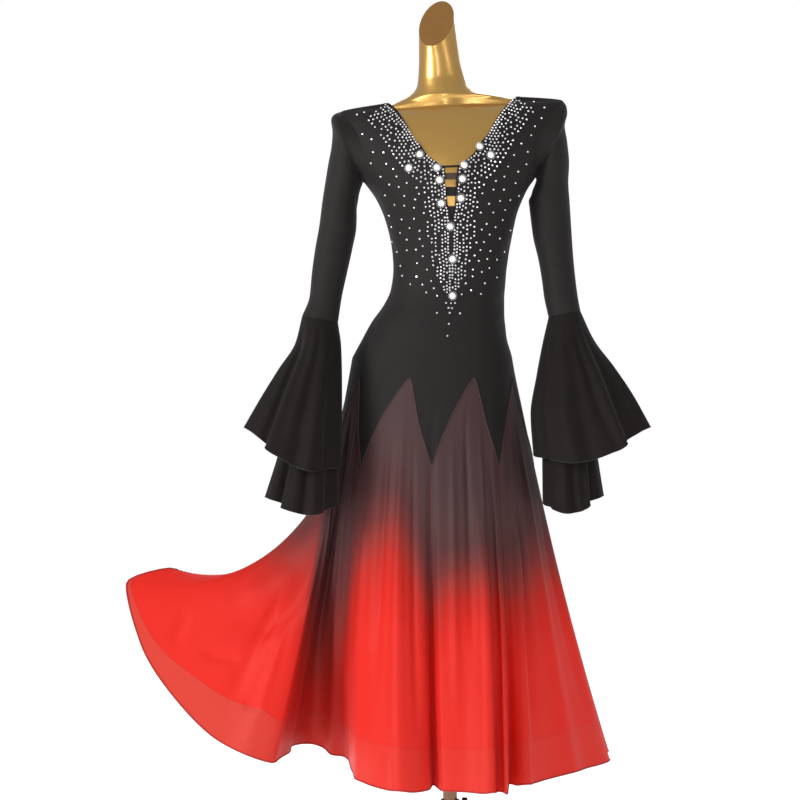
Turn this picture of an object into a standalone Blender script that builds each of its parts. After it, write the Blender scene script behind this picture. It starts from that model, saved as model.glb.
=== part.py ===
"""Ballroom dance dress with a godet skirt and flounced sleeves, on a limbless dress form.

Units are metres, angles degrees, +Z is up and the dress faces -Y. The origin is the centre of
the base's underside, on the axis of the stand. Every cloth piece is a thin wall: its outer points
come from one surface function and its inner points lie one thickness inside them.
"""

import math
from collections import namedtuple

import bpy
from mathutils import Vector

# Cloth and seams
BODICE_WALL = 0.0015
SLEEVE_WALL = 0.0015
SKIRT_WALL = 0.0012
FLOUNCE_WALL = 0.0012
STRAP_WALL = 0.0010
SEAM_GAP = 0.0003

# Heights of the figure, before its shoulders are tilted
HIP_Z = 0.9717
SHOULDER_TILT = 0.05
TILT_STARTS_Z = 1.2514
TILT_FULL_Z = 1.3222
NECK_TILT = 0.025

# The form stands inside the cloth
FORM_INSET = 0.0042
FORM_SHOULDER_DROP = 0.0042
FORM_BOTTOM_Z = 0.850
FORM_SIDES = 32

# Godet skirt: eight panels, seams at whole numbers of u, peaks half way between
PANELS = 8
PEAK_V = 0.05
TIP_V = 0.265
HIP_TURN = 8.5
TURN_DONE_V = 0.20
PEAK_CURVE = 1.25
EDGE_GAP_V = 0.0026
COLUMN_SHARES = (0.0, 0.1, 0.3, 0.5, 0.7, 0.9)
SKIRT_ROWS = 8
SHARPEST_MITRE = 0.36

# Stand
BASE_RADIUS = 0.150
BASE_EDGE = 0.006
BASE_ROUND = 0.006
BASE_CROWN = 0.014
BOSS_FOOT_RADIUS = 0.036
BOSS_FOOT_Z = 0.019
BOSS_RADIUS = 0.024
BOSS_TOP = 0.030
LOWER_TUBE_RADIUS = 0.0150
TUBE_BORE = 0.0129
UPPER_TUBE_RADIUS = 0.0125
COLLAR_RADIUS = 0.0175
COLLAR_BOTTOM = 0.165
COLLAR_TOP = 0.191
COLLAR_CHAMFER = 0.002
SCREW_Z = 0.179
SCREW_RADIUS = 0.0040
SCREW_HOLE_RADIUS = 0.0044
SCREW_HOLE_SIDES = 16
KNOB_RADIUS = 0.0135
KNOB_LOBE = 0.0015
KNOB_LOBES = 5
KNOB_START = 0.021
KNOB_END = 0.031
KNOB_EDGE = 0.0015
KNOB_SIDES = 30
FLANGE_RADIUS = 0.045
FLANGE_THICKNESS = 0.006
ROUND_SIDES = 32

# Large round stones
STONE_RADIUS = 0.0060
STONE_HEIGHT = 0.0042
STONE_GIRDLE = 0.0015
STONE_SHOULDER = 0.0036
STONE_TABLE_RADIUS = 0.0037
STONE_SIDES = 10
STONE_LIFT = 0.0006

# One row for each level of the torso, outside the cloth: centre and half width across, depth to
# the front and the back, and the turn of the centre front towards the viewer's right
TorsoRow = namedtuple("TorsoRow", "z centre half front back turn")
TORSO = [
    TorsoRow(0.9400, -0.0370, 0.1500, 0.1010, 0.1180, 8.0),
    TorsoRow(0.9717, -0.0315, 0.1415, 0.0980, 0.1170, 9.0),
    TorsoRow(1.0036, -0.0275, 0.1285, 0.0950, 0.1100, 9.3),
    TorsoRow(1.0354, -0.0205, 0.1180, 0.0910, 0.1000, 8.0),
    TorsoRow(1.0673, -0.0100, 0.1060, 0.0860, 0.0880, 5.5),
    TorsoRow(1.0921, -0.0040, 0.1010, 0.0830, 0.0800, 3.5),
    TorsoRow(1.1204, -0.0007, 0.1000, 0.0820, 0.0750, 2.0),
    TorsoRow(1.1523, 0.0010, 0.1025, 0.0850, 0.0760, 0.8),
    TorsoRow(1.1806, 0.0015, 0.1070, 0.0900, 0.0790, 0.0),
    TorsoRow(1.2054, 0.0010, 0.1125, 0.0970, 0.0830, 0.0),
    TorsoRow(1.2266, 0.0000, 0.1185, 0.1040, 0.0860, 0.0),
    TorsoRow(1.2514, -0.0010, 0.1290, 0.1120, 0.0900, 0.0),
    TorsoRow(1.2691, -0.0020, 0.1390, 0.1150, 0.0930, 0.0),
    TorsoRow(1.2868, -0.0010, 0.1520, 0.1140, 0.0950, 0.0),
    TorsoRow(1.2974, -0.0010, 0.1600, 0.1120, 0.0960, 0.0),
    TorsoRow(1.3222, -0.0010, 0.1720, 0.1060, 0.0960, 0.0),
    TorsoRow(1.3487, -0.0010, 0.1830, 0.0960, 0.0920, 0.0),
    TorsoRow(1.3753, 0.0000, 0.1950, 0.0820, 0.0840, 0.0),
    TorsoRow(1.3965, 0.0010, 0.2010, 0.0660, 0.0720, 0.0),
    TorsoRow(1.4107, 0.0030, 0.2000, 0.0500, 0.0580, 0.0),
    TorsoRow(1.4178, 0.0035, 0.1950, 0.0340, 0.0440, 0.0),
    TorsoRow(1.4284, 0.0030, 0.1177, 0.0400, 0.0500, 0.0),
]

# The form narrows a little below the hip, down to its flat bottom
FootRow = namedtuple("FootRow", "z share")
FORM_FOOT = [
    FootRow(FORM_BOTTOM_Z, 0.86),
    FootRow(0.9000, 0.95),
    FootRow(0.9400, 0.985),
]

# One row for each level of the neck of the form
NeckRow = namedtuple("NeckRow", "z centre half front back")
NECK = [
    NeckRow(1.4318, 0.0020, 0.0830, 0.0430, 0.0500),
    NeckRow(1.4375, -0.0070, 0.0640, 0.0420, 0.0480),
    NeckRow(1.4440, -0.0106, 0.0530, 0.0410, 0.0460),
    NeckRow(1.4540, -0.0133, 0.0450, 0.0395, 0.0430),
    NeckRow(1.4665, -0.0150, 0.0415, 0.0380, 0.0410),
    NeckRow(1.4992, -0.0186, 0.0363, 0.0360, 0.0380),
]
CAP_CENTRE = Vector((-0.0240, 0.0, 1.5640))
CAP_HALF = 0.0310
CAP_DEPTH = 0.0360
CAP_SLOPE_X = 0.45
CAP_SLOPE_Y = 1.22
CAP_STEPS = 4

# Levels of the bodice's rows: below the armpit both ends of a row are level, above it a row runs
# from the armhole to the neckline
LEVELS = (0.9717, 1.0036, 1.0354, 1.0720, 1.1080, 1.1420, 1.1750, 1.2050, 1.2260, 1.2460, 1.2670)
FINGER_ROWS = 3
UpperRow = namedtuple("UpperRow", "arm_z front_neck_z back_neck_z opening_angle")
UPPER = [
    UpperRow(1.2868, 1.2830, 1.2868, 90.0),
    UpperRow(1.2921, 1.2965, 1.2950, 80.0),
    UpperRow(1.3027, 1.3000, 1.3080, 70.0),
    UpperRow(1.3169, 1.3130, 1.3220, 62.5),
    UpperRow(1.3346, 1.3300, 1.3400, 58.5),
    UpperRow(1.3523, 1.3480, 1.3600, 57.0),
    UpperRow(1.3717, 1.3700, 1.3790, 57.5),
    UpperRow(1.3894, 1.3900, 1.3920, 61.0),
    UpperRow(1.4054, 1.4080, 1.4080, 69.0),
    UpperRow(1.4142, 1.4213, 1.4213, 79.0),
    UpperRow(1.4178, 1.4284, 1.4284, 90.0),
]

# Half width of the neck opening by level
EdgeRow = namedtuple("EdgeRow", "z half")
FRONT_NECK = [
    EdgeRow(1.2050, 0.0000),
    EdgeRow(1.2110, 0.0022),
    EdgeRow(1.2301, 0.0060),
    EdgeRow(1.2655, 0.0092),
    EdgeRow(1.2965, 0.0112),
    EdgeRow(1.2981, 0.0131),
    EdgeRow(1.3204, 0.0398),
    EdgeRow(1.3408, 0.0531),
    EdgeRow(1.3540, 0.0646),
    EdgeRow(1.3806, 0.0779),
    EdgeRow(1.4213, 0.1071),
    EdgeRow(1.4284, 0.1177),
]
BACK_NECK = [
    EdgeRow(1.3790, 0.0000),
    EdgeRow(1.3920, 0.0480),
    EdgeRow(1.4080, 0.0760),
    EdgeRow(1.4213, 0.1040),
    EdgeRow(1.4284, 0.1177),
]

# Straps across the slit, lowest first
StrapRow = namedtuple("StrapRow", "bottom top half_angle")
STRAPS = [
    StrapRow(1.2075, 1.2301, 5.5),
    StrapRow(1.2473, 1.2627, 9.0),
    StrapRow(1.2758, 1.2871, 9.0),
    StrapRow(1.2972, 1.3002, 10.0),
]
STRAP_INSET = 0.0024

# One row for each ring of a sleeve: its point farthest from the body, its point nearest to the
# body, half its depth and how far forward it hangs
SleeveRow = namedtuple("SleeveRow", "out_x out_z in_x in_z depth y")
LEFT_SLEEVE = [
    SleeveRow(-0.2050, 1.4027, -0.1543, 1.2824, 0.0510, 0.002),
    SleeveRow(-0.2106, 1.3930, -0.1558, 1.2780, 0.0525, 0.002),
    SleeveRow(-0.2080, 1.3700, -0.1575, 1.2735, 0.0525, 0.002),
    SleeveRow(-0.2096, 1.3470, -0.1592, 1.2682, 0.0515, 0.000),
    SleeveRow(-0.2150, 1.3169, -0.1610, 1.2603, 0.0485, -0.002),
    SleeveRow(-0.2204, 1.2833, -0.1625, 1.2496, 0.0455, -0.004),
    SleeveRow(-0.2257, 1.2479, -0.1643, 1.2337, 0.0425, -0.007),
    SleeveRow(-0.2308, 1.2054, -0.1654, 1.2018, 0.0400, -0.012),
    SleeveRow(-0.2379, 1.1629, -0.1724, 1.1629, 0.0370, -0.020),
    SleeveRow(-0.2432, 1.1204, -0.1813, 1.1204, 0.0340, -0.030),
    SleeveRow(-0.2468, 1.0779, -0.1901, 1.0779, 0.0310, -0.042),
    SleeveRow(-0.2593, 1.0431, -0.1965, 1.0328, 0.0300, -0.054),
]
RIGHT_SLEEVE = [
    SleeveRow(0.2060, 1.4170, 0.1530, 1.2875, 0.0510, 0.002),
    SleeveRow(0.2075, 1.4050, 0.1515, 1.2820, 0.0525, 0.002),
    SleeveRow(0.2030, 1.3830, 0.1492, 1.2760, 0.0525, 0.002),
    SleeveRow(0.2070, 1.3558, 0.1462, 1.2691, 0.0515, 0.000),
    SleeveRow(0.2106, 1.3151, 0.1430, 1.2590, 0.0485, -0.002),
    SleeveRow(0.2090, 1.2833, 0.1382, 1.2479, 0.0455, -0.004),
    SleeveRow(0.2110, 1.2479, 0.1412, 1.2266, 0.0425, -0.007),
    SleeveRow(0.2137, 1.1983, 0.1465, 1.1841, 0.0400, -0.012),
    SleeveRow(0.2160, 1.1540, 0.1550, 1.1450, 0.0370, -0.020),
    SleeveRow(0.2195, 1.1100, 0.1610, 1.1060, 0.0340, -0.028),
    SleeveRow(0.2230, 1.0779, 0.1640, 1.0779, 0.0310, -0.036),
    SleeveRow(0.2270, 1.0530, 0.1712, 1.0425, 0.0300, -0.042),
]

# Flounces: the same columns, with the share of the full wave, a row for each level of a tier
FlounceRow = namedtuple("FlounceRow", "out_x out_z in_x in_z depth y wave")
FLOUNCE_SIDES = 38
INNER_WAVE_SHARE = 0.25
WAVE_START = 0.6
LOWER_TIER_START = 0.002
FLOUNCE_WAVES = 7
FLOUNCE_WAVE = 0.0110
LEFT_UPPER = [
    FlounceRow(-0.2680, 0.9965, -0.1905, 0.9900, 0.0400, -0.066, 0.15),
    FlounceRow(-0.2915, 0.9505, -0.1885, 0.9350, 0.0540, -0.080, 0.45),
    FlounceRow(-0.3165, 0.9000, -0.1880, 0.8700, 0.0670, -0.094, 0.75),
    FlounceRow(-0.3420, 0.8460, -0.1880, 0.7850, 0.0790, -0.108, 1.00),
]
LEFT_LOWER = [
    FlounceRow(-0.2610, 0.9680, -0.1960, 0.9630, 0.0330, -0.066, 0.10),
    FlounceRow(-0.2740, 0.8885, -0.1950, 0.8800, 0.0430, -0.085, 0.35),
    FlounceRow(-0.2890, 0.8090, -0.1935, 0.7990, 0.0530, -0.104, 0.60),
    FlounceRow(-0.3080, 0.7310, -0.1925, 0.7200, 0.0600, -0.120, 0.95),
]
RIGHT_UPPER = [
    FlounceRow(0.2480, 1.0020, 0.1600, 0.9950, 0.0410, -0.048, 0.15),
    FlounceRow(0.2765, 0.9560, 0.1490, 0.9400, 0.0550, -0.056, 0.45),
    FlounceRow(0.3040, 0.9060, 0.1380, 0.8720, 0.0680, -0.064, 0.75),
    FlounceRow(0.3310, 0.8480, 0.1420, 0.8030, 0.0800, -0.072, 1.00),
]
RIGHT_LOWER = [
    FlounceRow(0.2350, 0.9750, 0.1680, 0.9700, 0.0330, -0.048, 0.10),
    FlounceRow(0.2410, 0.8885, 0.1600, 0.8800, 0.0430, -0.058, 0.35),
    FlounceRow(0.2460, 0.8090, 0.1585, 0.7990, 0.0530, -0.066, 0.60),
    FlounceRow(0.2530, 0.7310, 0.1590, 0.7200, 0.0600, -0.074, 0.95),
]
UPPER_DROP = 0.030
LOWER_DROP = 0.022
LOWER_TIER_INSET = 0.0020

# The hem, a row for each ridge, trough and seam: its place round the skirt, in panels from the
# centre front, and where it lies
HemRow = namedtuple("HemRow", "u x y z")
HEM = [
    HemRow(-4.00, 0.000, 0.225, 0.262),
    HemRow(-3.90, -0.040, 0.295, 0.262),
    HemRow(-3.70, -0.130, 0.275, 0.275),
    HemRow(-3.50, -0.230, 0.230, 0.320),
    HemRow(-3.30, -0.345, 0.155, 0.415),
    HemRow(-3.12, -0.440, 0.080, 0.540),
    HemRow(-3.00, -0.500, 0.035, 0.597),
    HemRow(-2.90, -0.572, -0.005, 0.574),
    HemRow(-2.70, -0.540, -0.045, 0.468),
    HemRow(-2.50, -0.476, -0.065, 0.375),
    HemRow(-2.30, -0.403, -0.082, 0.309),
    HemRow(-2.10, -0.338, -0.092, 0.280),
    HemRow(-2.00, -0.308, -0.085, 0.271),
    HemRow(-1.85, -0.297, -0.054, 0.274),
    HemRow(-1.65, -0.283, 0.034, 0.279),
    HemRow(-1.40, -0.245, 0.085, 0.274),
    HemRow(-1.15, -0.195, 0.050, 0.260),
    HemRow(-1.00, -0.180, 0.010, 0.259),
    HemRow(-0.90, -0.172, -0.085, 0.258),
    HemRow(-0.70, -0.148, -0.198, 0.258),
    HemRow(-0.45, -0.100, -0.268, 0.258),
    HemRow(-0.30, -0.073, -0.282, 0.258),
    HemRow(-0.10, -0.041, -0.258, 0.258),
    HemRow(0.00, -0.033, -0.215, 0.258),
    HemRow(0.10, -0.019, -0.268, 0.258),
    HemRow(0.40, 0.020, -0.278, 0.258),
    HemRow(0.62, 0.052, -0.292, 0.258),
    HemRow(0.75, 0.070, -0.270, 0.258),
    HemRow(0.90, 0.086, -0.295, 0.258),
    HemRow(1.00, 0.094, -0.205, 0.258),
    HemRow(1.10, 0.110, -0.222, 0.258),
    HemRow(1.40, 0.165, -0.160, 0.258),
    HemRow(1.70, 0.232, -0.070, 0.258),
    HemRow(1.90, 0.285, 0.020, 0.258),
    HemRow(2.00, 0.268, 0.070, 0.258),
    HemRow(2.10, 0.292, 0.105, 0.258),
    HemRow(2.50, 0.225, 0.165, 0.258),
    HemRow(2.90, 0.195, 0.245, 0.258),
    HemRow(3.00, 0.140, 0.205, 0.258),
    HemRow(3.10, 0.130, 0.280, 0.258),
    HemRow(3.50, 0.088, 0.254, 0.258),
    HemRow(3.90, 0.040, 0.295, 0.258),
]

# The smooth drape that pulls the cloth half way between hip and hem, in the same columns
DRAPE = [
    HemRow(-4.0, -0.036, 0.176, 0.615),
    HemRow(-3.5, -0.140, 0.125, 0.590),
    HemRow(-3.0, -0.236, 0.039, 0.515),
    HemRow(-2.5, -0.250, -0.012, 0.545),
    HemRow(-2.0, -0.232, -0.034, 0.600),
    HemRow(-1.5, -0.212, -0.069, 0.612),
    HemRow(-1.0, -0.185, -0.110, 0.612),
    HemRow(-0.5, -0.112, -0.148, 0.614),
    HemRow(0.0, -0.040, -0.160, 0.615),
    HemRow(0.5, 0.032, -0.158, 0.615),
    HemRow(1.0, 0.097, -0.128, 0.615),
    HemRow(1.5, 0.138, -0.060, 0.615),
    HemRow(2.0, 0.182, 0.030, 0.615),
    HemRow(2.5, 0.150, 0.100, 0.615),
    HemRow(3.0, 0.092, 0.150, 0.615),
    HemRow(3.5, 0.036, 0.172, 0.615),
]

# Where the large stones sit on the bodice front
StoneRow = namedtuple("StoneRow", "x z")
STONES = [
    StoneRow(-0.0542, 1.3227),
    StoneRow(-0.0731, 1.2995),
    StoneRow(-0.0250, 1.2970),
    StoneRow(-0.0205, 1.2747),
    StoneRow(-0.0175, 1.2353),
    StoneRow(0.0487, 1.3314),
    StoneRow(0.0676, 1.3158),
    StoneRow(0.0215, 1.2995),
    StoneRow(0.0185, 1.2763),
    StoneRow(0.0160, 1.2438),
    StoneRow(-0.0019, 1.1965),
    StoneRow(0.0023, 1.1411),
    StoneRow(0.0023, 1.0772),
]


def clear_scene():
    """Remove the objects that the file opens with."""
    for item in list(bpy.data.objects):
        bpy.data.objects.remove(item, do_unlink=True)


def make_material(name, colour, roughness, metallic=0.0):
    """Make a Principled material."""
    material = bpy.data.materials.new(name)
    material.use_nodes = True
    shader = material.node_tree.nodes["Principled BSDF"]
    shader.inputs["Base Color"].default_value = (*colour, 1.0)
    shader.inputs["Roughness"].default_value = roughness
    shader.inputs["Metallic"].default_value = metallic
    return material


def add_object(name, points, faces, material, smooth_angle=50.0):
    """Add a mesh object, smooth but for its sharp edges."""
    mesh = bpy.data.meshes.new(name)
    mesh.from_pydata([tuple(point) for point in points], [], faces)
    mesh.shade_smooth()
    mesh.set_sharp_from_angle(angle=math.radians(smooth_angle))
    mesh.materials.append(material)
    item = bpy.data.objects.new(name, mesh)
    bpy.context.scene.collection.objects.link(item)
    return item


def monotone_curve(places, values):
    """Return a smooth function through the points that doesn't overshoot them."""
    steps = [(values[i + 1] - values[i]) / (places[i + 1] - places[i]) for i in range(len(places) - 1)]
    slopes = [steps[0]]
    for before, after in zip(steps, steps[1:]):
        slopes.append(2 * before * after / (before + after) if before * after > 0 else 0.0)
    slopes.append(steps[-1])

    def curve(place):
        place = min(max(place, places[0]), places[-1])
        i = 0
        while i < len(places) - 2 and place > places[i + 1]:
            i += 1
        width = places[i + 1] - places[i]
        t = (place - places[i]) / width
        start = (1 + 2 * t) * (1 - t) ** 2 * values[i] + t * (1 - t) ** 2 * width * slopes[i]
        end = t * t * (3 - 2 * t) * values[i + 1] + t * t * (t - 1) * width * slopes[i + 1]
        return start + end

    return curve


def table_curves(rows):
    """Return one smooth function of the first column for each other column of a table."""
    places = [row[0] for row in rows]
    fields = rows[0]._fields[1:]
    return {field: monotone_curve(places, [getattr(row, field) for row in rows]) for field in fields}


def wrapped(rows, period):
    """Repeat the ends of a closed table, so that its curves run round smoothly."""
    before = [row._replace(u=row.u - period) for row in rows[-3:]]
    after = [row._replace(u=row.u + period) for row in rows[:3]]
    return before + rows + after


TORSO_CURVES = table_curves(TORSO)
HEM_CURVES = table_curves(wrapped(HEM, PANELS))
DRAPE_CURVES = table_curves(wrapped(DRAPE, PANELS))


def ease(share):
    """Go smoothly from 0 to 1."""
    t = min(max(share, 0.0), 1.0)
    return t * t * (3 - 2 * t)


def torso_point(angle, z, inset=0.0):
    """Return a point of the torso, with the angle from the centre front to the viewer's right."""
    turned = math.radians(angle + TORSO_CURVES["turn"](z))
    side = math.sin(turned)
    ahead = math.cos(turned)
    depth = TORSO_CURVES["front"](z) if ahead > 0 else TORSO_CURVES["back"](z)
    x = TORSO_CURVES["centre"](z) + (TORSO_CURVES["half"](z) - inset) * side
    y = -(depth - inset) * ahead
    tilt = SHOULDER_TILT * ease((z - TILT_STARTS_Z) / (TILT_FULL_Z - TILT_STARTS_Z))
    return Vector((x, y, z + tilt * x))


def torso_normal(angle, z):
    """Return the outward direction of the torso's surface."""
    low = max(z - 0.002, TORSO[0].z)
    high = min(z + 0.002, TORSO[-1].z)
    across = torso_point(angle + 1.0, z) - torso_point(angle - 1.0, z)
    up = torso_point(angle, high) - torso_point(angle, low)
    return across.cross(up).normalized()


def skirt_point(u, v):
    """Return a point of the skirt, u panels round from the centre front, v from hip to hem."""
    place = (u + PANELS / 2) % PANELS - PANELS / 2
    hip = torso_point(u * 360.0 / PANELS - HIP_TURN * ease(v / TURN_DONE_V), HIP_Z)
    middle = Vector([DRAPE_CURVES[axis](place) for axis in ("x", "y", "z")])
    hem = Vector([HEM_CURVES[axis](place) for axis in ("x", "y", "z")])
    return hip * (1 - v) ** 2 + middle * (2 * v * (1 - v)) + hem * v * v


def column_place(column):
    """Return u of one of the columns that run down the whole skirt."""
    return column // len(COLUMN_SHARES) + COLUMN_SHARES[column % len(COLUMN_SHARES)]


def skirt_frame(column, v):
    """Return a column's point, its outward direction, mitred at a fold, and the direction round."""
    before, point, after = (skirt_point(column_place(column + step), v) for step in (-1, 0, 1))
    down = skirt_point(column_place(column), v + 0.01) - skirt_point(column_place(column), v - 0.01)
    left = down.cross(point - before).normalized()
    right = down.cross(after - point).normalized()
    outward = (left + right).normalized()
    around = outward.cross(down).normalized()
    return point, outward / max(outward.dot(left), SHARPEST_MITRE), around


def godet_edge(u):
    """Return v along the zigzag where the black bodice meets the godets."""
    from_seam = abs(2 * (u % 1.0) - 1)
    return PEAK_V + (TIP_V - PEAK_V) * from_seam ** PEAK_CURVE


def close_wall(name, outer, normals, quads, thickness, material):
    """Close a sheet of quads into a wall, its inner points one thickness inside."""
    count = len(outer)
    inner = [point - normal * thickness for point, normal in zip(outer, normals)]
    faces = [tuple(quad) for quad in quads]
    # An inner face starts at the same corner, so that both sides of the wall split alike
    faces += [(count + quad[0], *(count + i for i in reversed(quad[1:]))) for quad in quads]
    edges = {(quad[i], quad[(i + 1) % len(quad)]) for quad in quads for i in range(len(quad))}
    for start, end in sorted(edges):
        if (end, start) not in edges:
            faces.append((end, start, count + start, count + end))
    return add_object(name, outer + inner, faces, material)


def opening_half_angle(curve, z):
    """Return the angle from the centre to the edge of the neck opening."""
    return math.degrees(math.asin(min(curve(z) / TORSO_CURVES["half"](z), 1.0)))


def bodice_rows(front):
    """Return the rows of a bodice panel as (level and angle at the side, the same at the centre)."""
    neck = FRONT_NECK if front else BACK_NECK
    neck_curve = table_curves(neck)["half"]
    rows = []
    for z in LEVELS:
        centre = opening_half_angle(neck_curve, z) if z > neck[0].z else 0.0
        rows.append((z, 90.0, z, centre))
    for row in UPPER:
        neck_z = row.front_neck_z if front else row.back_neck_z
        centre = opening_half_angle(neck_curve, neck_z) if neck_z > neck[0].z else 0.0
        rows.append((row.arm_z, row.opening_angle, neck_z, centre))
    return rows


def seam_shift(point, ahead, angle, middle):
    """Move a point on a side or shoulder seam half a gap towards the middle of its panel."""
    if abs(abs(angle - middle) - 90.0) > 0.001:
        return point
    return point + ahead * (SEAM_GAP / 2 * (-1 if angle > middle else 1))


def torso_row(middle, side, row, shares):
    """Return the points and outward directions of half a row of the bodice."""
    side_z, side_angle, centre_z, centre_angle = row
    made = []
    for share in shares:
        z = side_z + (centre_z - side_z) * share
        angle = middle + side * (side_angle + (centre_angle - side_angle) * share)
        ahead = (torso_point(angle + 1.0, z) - torso_point(angle - 1.0, z)).normalized()
        made.append((seam_shift(torso_point(angle, z), ahead, angle, middle), torso_normal(angle, z)))
    return made


def finger_row(middle, side, step):
    """Return the points and outward directions of half a row of the fingers between the godets."""
    per_quarter = PANELS // 4 * len(COLUMN_SHARES)
    centre = round(middle / 90.0) * per_quarter
    made = []
    for k in range(per_quarter + 1):
        column = centre + side * (per_quarter - k)
        v = godet_edge(column_place(column)) * step / FINGER_ROWS
        point, outward, around = skirt_frame(column, v)
        if k == 0:
            point = point - around * (side * SEAM_GAP / 2)
        made.append((point, outward))
    return made


def bodice_panel(name, front, material):
    """Build the front or back of the bodice, open at the neck, with fingers over the godets."""
    middle = 0.0 if front else 180.0
    last = PANELS // 4 * len(COLUMN_SHARES)
    shares = [1 - column_place(last - k) / (PANELS // 4) for k in range(last + 1)]
    halves = []
    for side in (-1, 1):
        half = [finger_row(middle, side, step) for step in range(FINGER_ROWS, 0, -1)]
        half += [torso_row(middle, side, row, shares) for row in bodice_rows(front)]
        halves.append(half)
    joined = FINGER_ROWS + sum(1 for row in bodice_rows(front) if row[3] == 0.0)
    outer = []
    normals = []
    places = [[], []]
    for j in range(len(halves[0])):
        for half in range(2):
            row_places = []
            for k, (point, normal) in enumerate(halves[half][j]):
                if half == 1 and k == last and j < joined:
                    row_places.append(places[0][j][last])
                    continue
                row_places.append(len(outer))
                outer.append(point)
                normals.append(normal)
            places[half].append(row_places)
    quads = []
    for j in range(len(halves[0]) - 1):
        for k in range(last):
            low, high = places[0][j], places[0][j + 1]
            quads.append((low[k], low[k + 1], high[k + 1], high[k]))
            low, high = places[1][j], places[1][j + 1]
            quads.append((low[k + 1], low[k], high[k], high[k + 1]))
    return close_wall(name, outer, normals, quads, BODICE_WALL, material)


def skirt_panel(name, panel, material):
    """Build one godet between the seams at u = panel and u = panel + 1."""
    count = len(COLUMN_SHARES)
    outer = []
    normals = []
    for step in range(SKIRT_ROWS + 1):
        for k in range(count + 1):
            column = panel * count + k
            top = godet_edge(column_place(column)) + EDGE_GAP_V
            point, outward, around = skirt_frame(column, top + (1.0 - top) * step / SKIRT_ROWS)
            shift = 1 if k == 0 else -1 if k == count else 0
            outer.append(point + around * (shift * SEAM_GAP / 2))
            normals.append(outward)
    across = count + 1
    quads = []
    for i in range(count):
        for j in range(SKIRT_ROWS):
            corner = j * across + i
            quads.append((corner + across + 1, corner + 1, corner, corner + across))
    return close_wall(name, outer, normals, quads, SKIRT_WALL, material)


def tube_wall(name, rings, start_axis, end_axis, thickness, material):
    """Build an open tube through rings that run round as seen along it; its rims are cut square."""
    sides = len(rings[0])
    outer = [point for ring in rings for point in ring]
    normals = []
    for j, ring in enumerate(rings):
        before = rings[max(j - 1, 0)]
        after = rings[min(j + 1, len(rings) - 1)]
        for i in range(sides):
            around = ring[(i + 1) % sides] - ring[i - 1]
            normal = around.cross(after[i] - before[i]).normalized()
            if j == 0:
                normal = (normal - start_axis * normal.dot(start_axis)).normalized()
            elif j == len(rings) - 1:
                normal = (normal - end_axis * normal.dot(end_axis)).normalized()
            normals.append(normal)
    quads = []
    for j in range(len(rings) - 1):
        for i in range(sides):
            low = j * sides
            high = low + sides
            after = (i + 1) % sides
            quads.append((low + i, low + after, high + after, high + i))
    return close_wall(name, outer, normals, quads, thickness, material)


def arm_ring(row, side, angles):
    """Return the ring of a sleeve row, from its outer point round the front."""
    far = Vector((row.out_x, row.y, row.out_z))
    near = Vector((row.in_x, row.y, row.in_z))
    middle = (far + near) / 2
    reach = (far - near) / 2
    ring = []
    for angle in angles:
        ring.append(middle + reach * math.cos(angle) + Vector((0, -row.depth * math.sin(angle), 0)))
    return ring if side < 0 else mirrored_order(ring)


def mirrored_order(ring):
    """Run a ring the other way round from the same first point."""
    return [ring[0]] + ring[:0:-1]


def ring_axis(row, side):
    """Return the direction along the arm at a row, square to its ring."""
    across = Vector((row.out_x - row.in_x, 0.0, row.out_z - row.in_z)).normalized()
    return Vector((across.z, 0.0, -across.x)) if side > 0 else Vector((-across.z, 0.0, across.x))


def armhole_ring(side):
    """Return the ring round an armhole, a seam's gap outside the bodice, and its angles."""
    low = UPPER[0].arm_z
    high = UPPER[-1].arm_z
    front = []
    back = []
    angles = []
    for row in reversed(UPPER):
        shift = Vector((side * SEAM_GAP, 0.0, 0.0))
        angles.append(math.acos(2 * (row.arm_z - low) / (high - low) - 1))
        front.append(torso_point(side * row.opening_angle, row.arm_z) + shift)
        back.append(torso_point(180.0 - side * row.opening_angle, row.arm_z) + shift)
    ring = front + back[-2:0:-1]
    angles = angles + [2 * math.pi - angle for angle in angles[-2:0:-1]]
    return (ring if side < 0 else mirrored_order(ring)), angles


def sleeve(name, rows, side, material):
    """Build a sleeve from its armhole to the flounce's seam."""
    first, angles = armhole_ring(side)
    rings = [first] + [arm_ring(row, side, angles) for row in rows]
    start_axis = Vector((side, 0.0, 0.0))
    return tube_wall(name, rings, start_axis, ring_axis(rows[-1], side), SLEEVE_WALL, material)


def shifted(row, move):
    """Move a sleeve row's two ends by one vector."""
    return FlounceRow(row.out_x + move.x, row.out_z + move.z, row.in_x + move.x, row.in_z + move.z,
                      row.depth, row.y, 0.0)


def shrunk(row, inset):
    """Draw the two ends and the depth of a flounce row in."""
    across = Vector((row.out_x - row.in_x, 0.0, row.out_z - row.in_z)).normalized() * inset
    return row._replace(out_x=row.out_x - across.x, out_z=row.out_z - across.z, in_x=row.in_x + across.x,
                        in_z=row.in_z + across.z, depth=row.depth - inset)


def flounce_ring(row, side, drop):
    """Return a ring of a flounce, waved most on the side away from the body."""
    angles = [2 * math.pi * i / FLOUNCE_SIDES for i in range(FLOUNCE_SIDES)]
    plain = arm_ring(row, side, angles)
    middle = (plain[0] + plain[FLOUNCE_SIDES // 2]) / 2
    ring = []
    for point, angle in zip(plain, angles):
        outward = (point - middle).normalized()
        away = INNER_WAVE_SHARE + (1 - INNER_WAVE_SHARE) * (1 + math.cos(angle)) / 2
        wave = FLOUNCE_WAVE * row.wave * away * math.sin(FLOUNCE_WAVES * angle + WAVE_START)
        lowered = Vector((0.0, 0.0, -drop * row.wave * math.sin(angle) ** 2))
        ring.append(point + outward * wave + lowered)
    return ring


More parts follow.
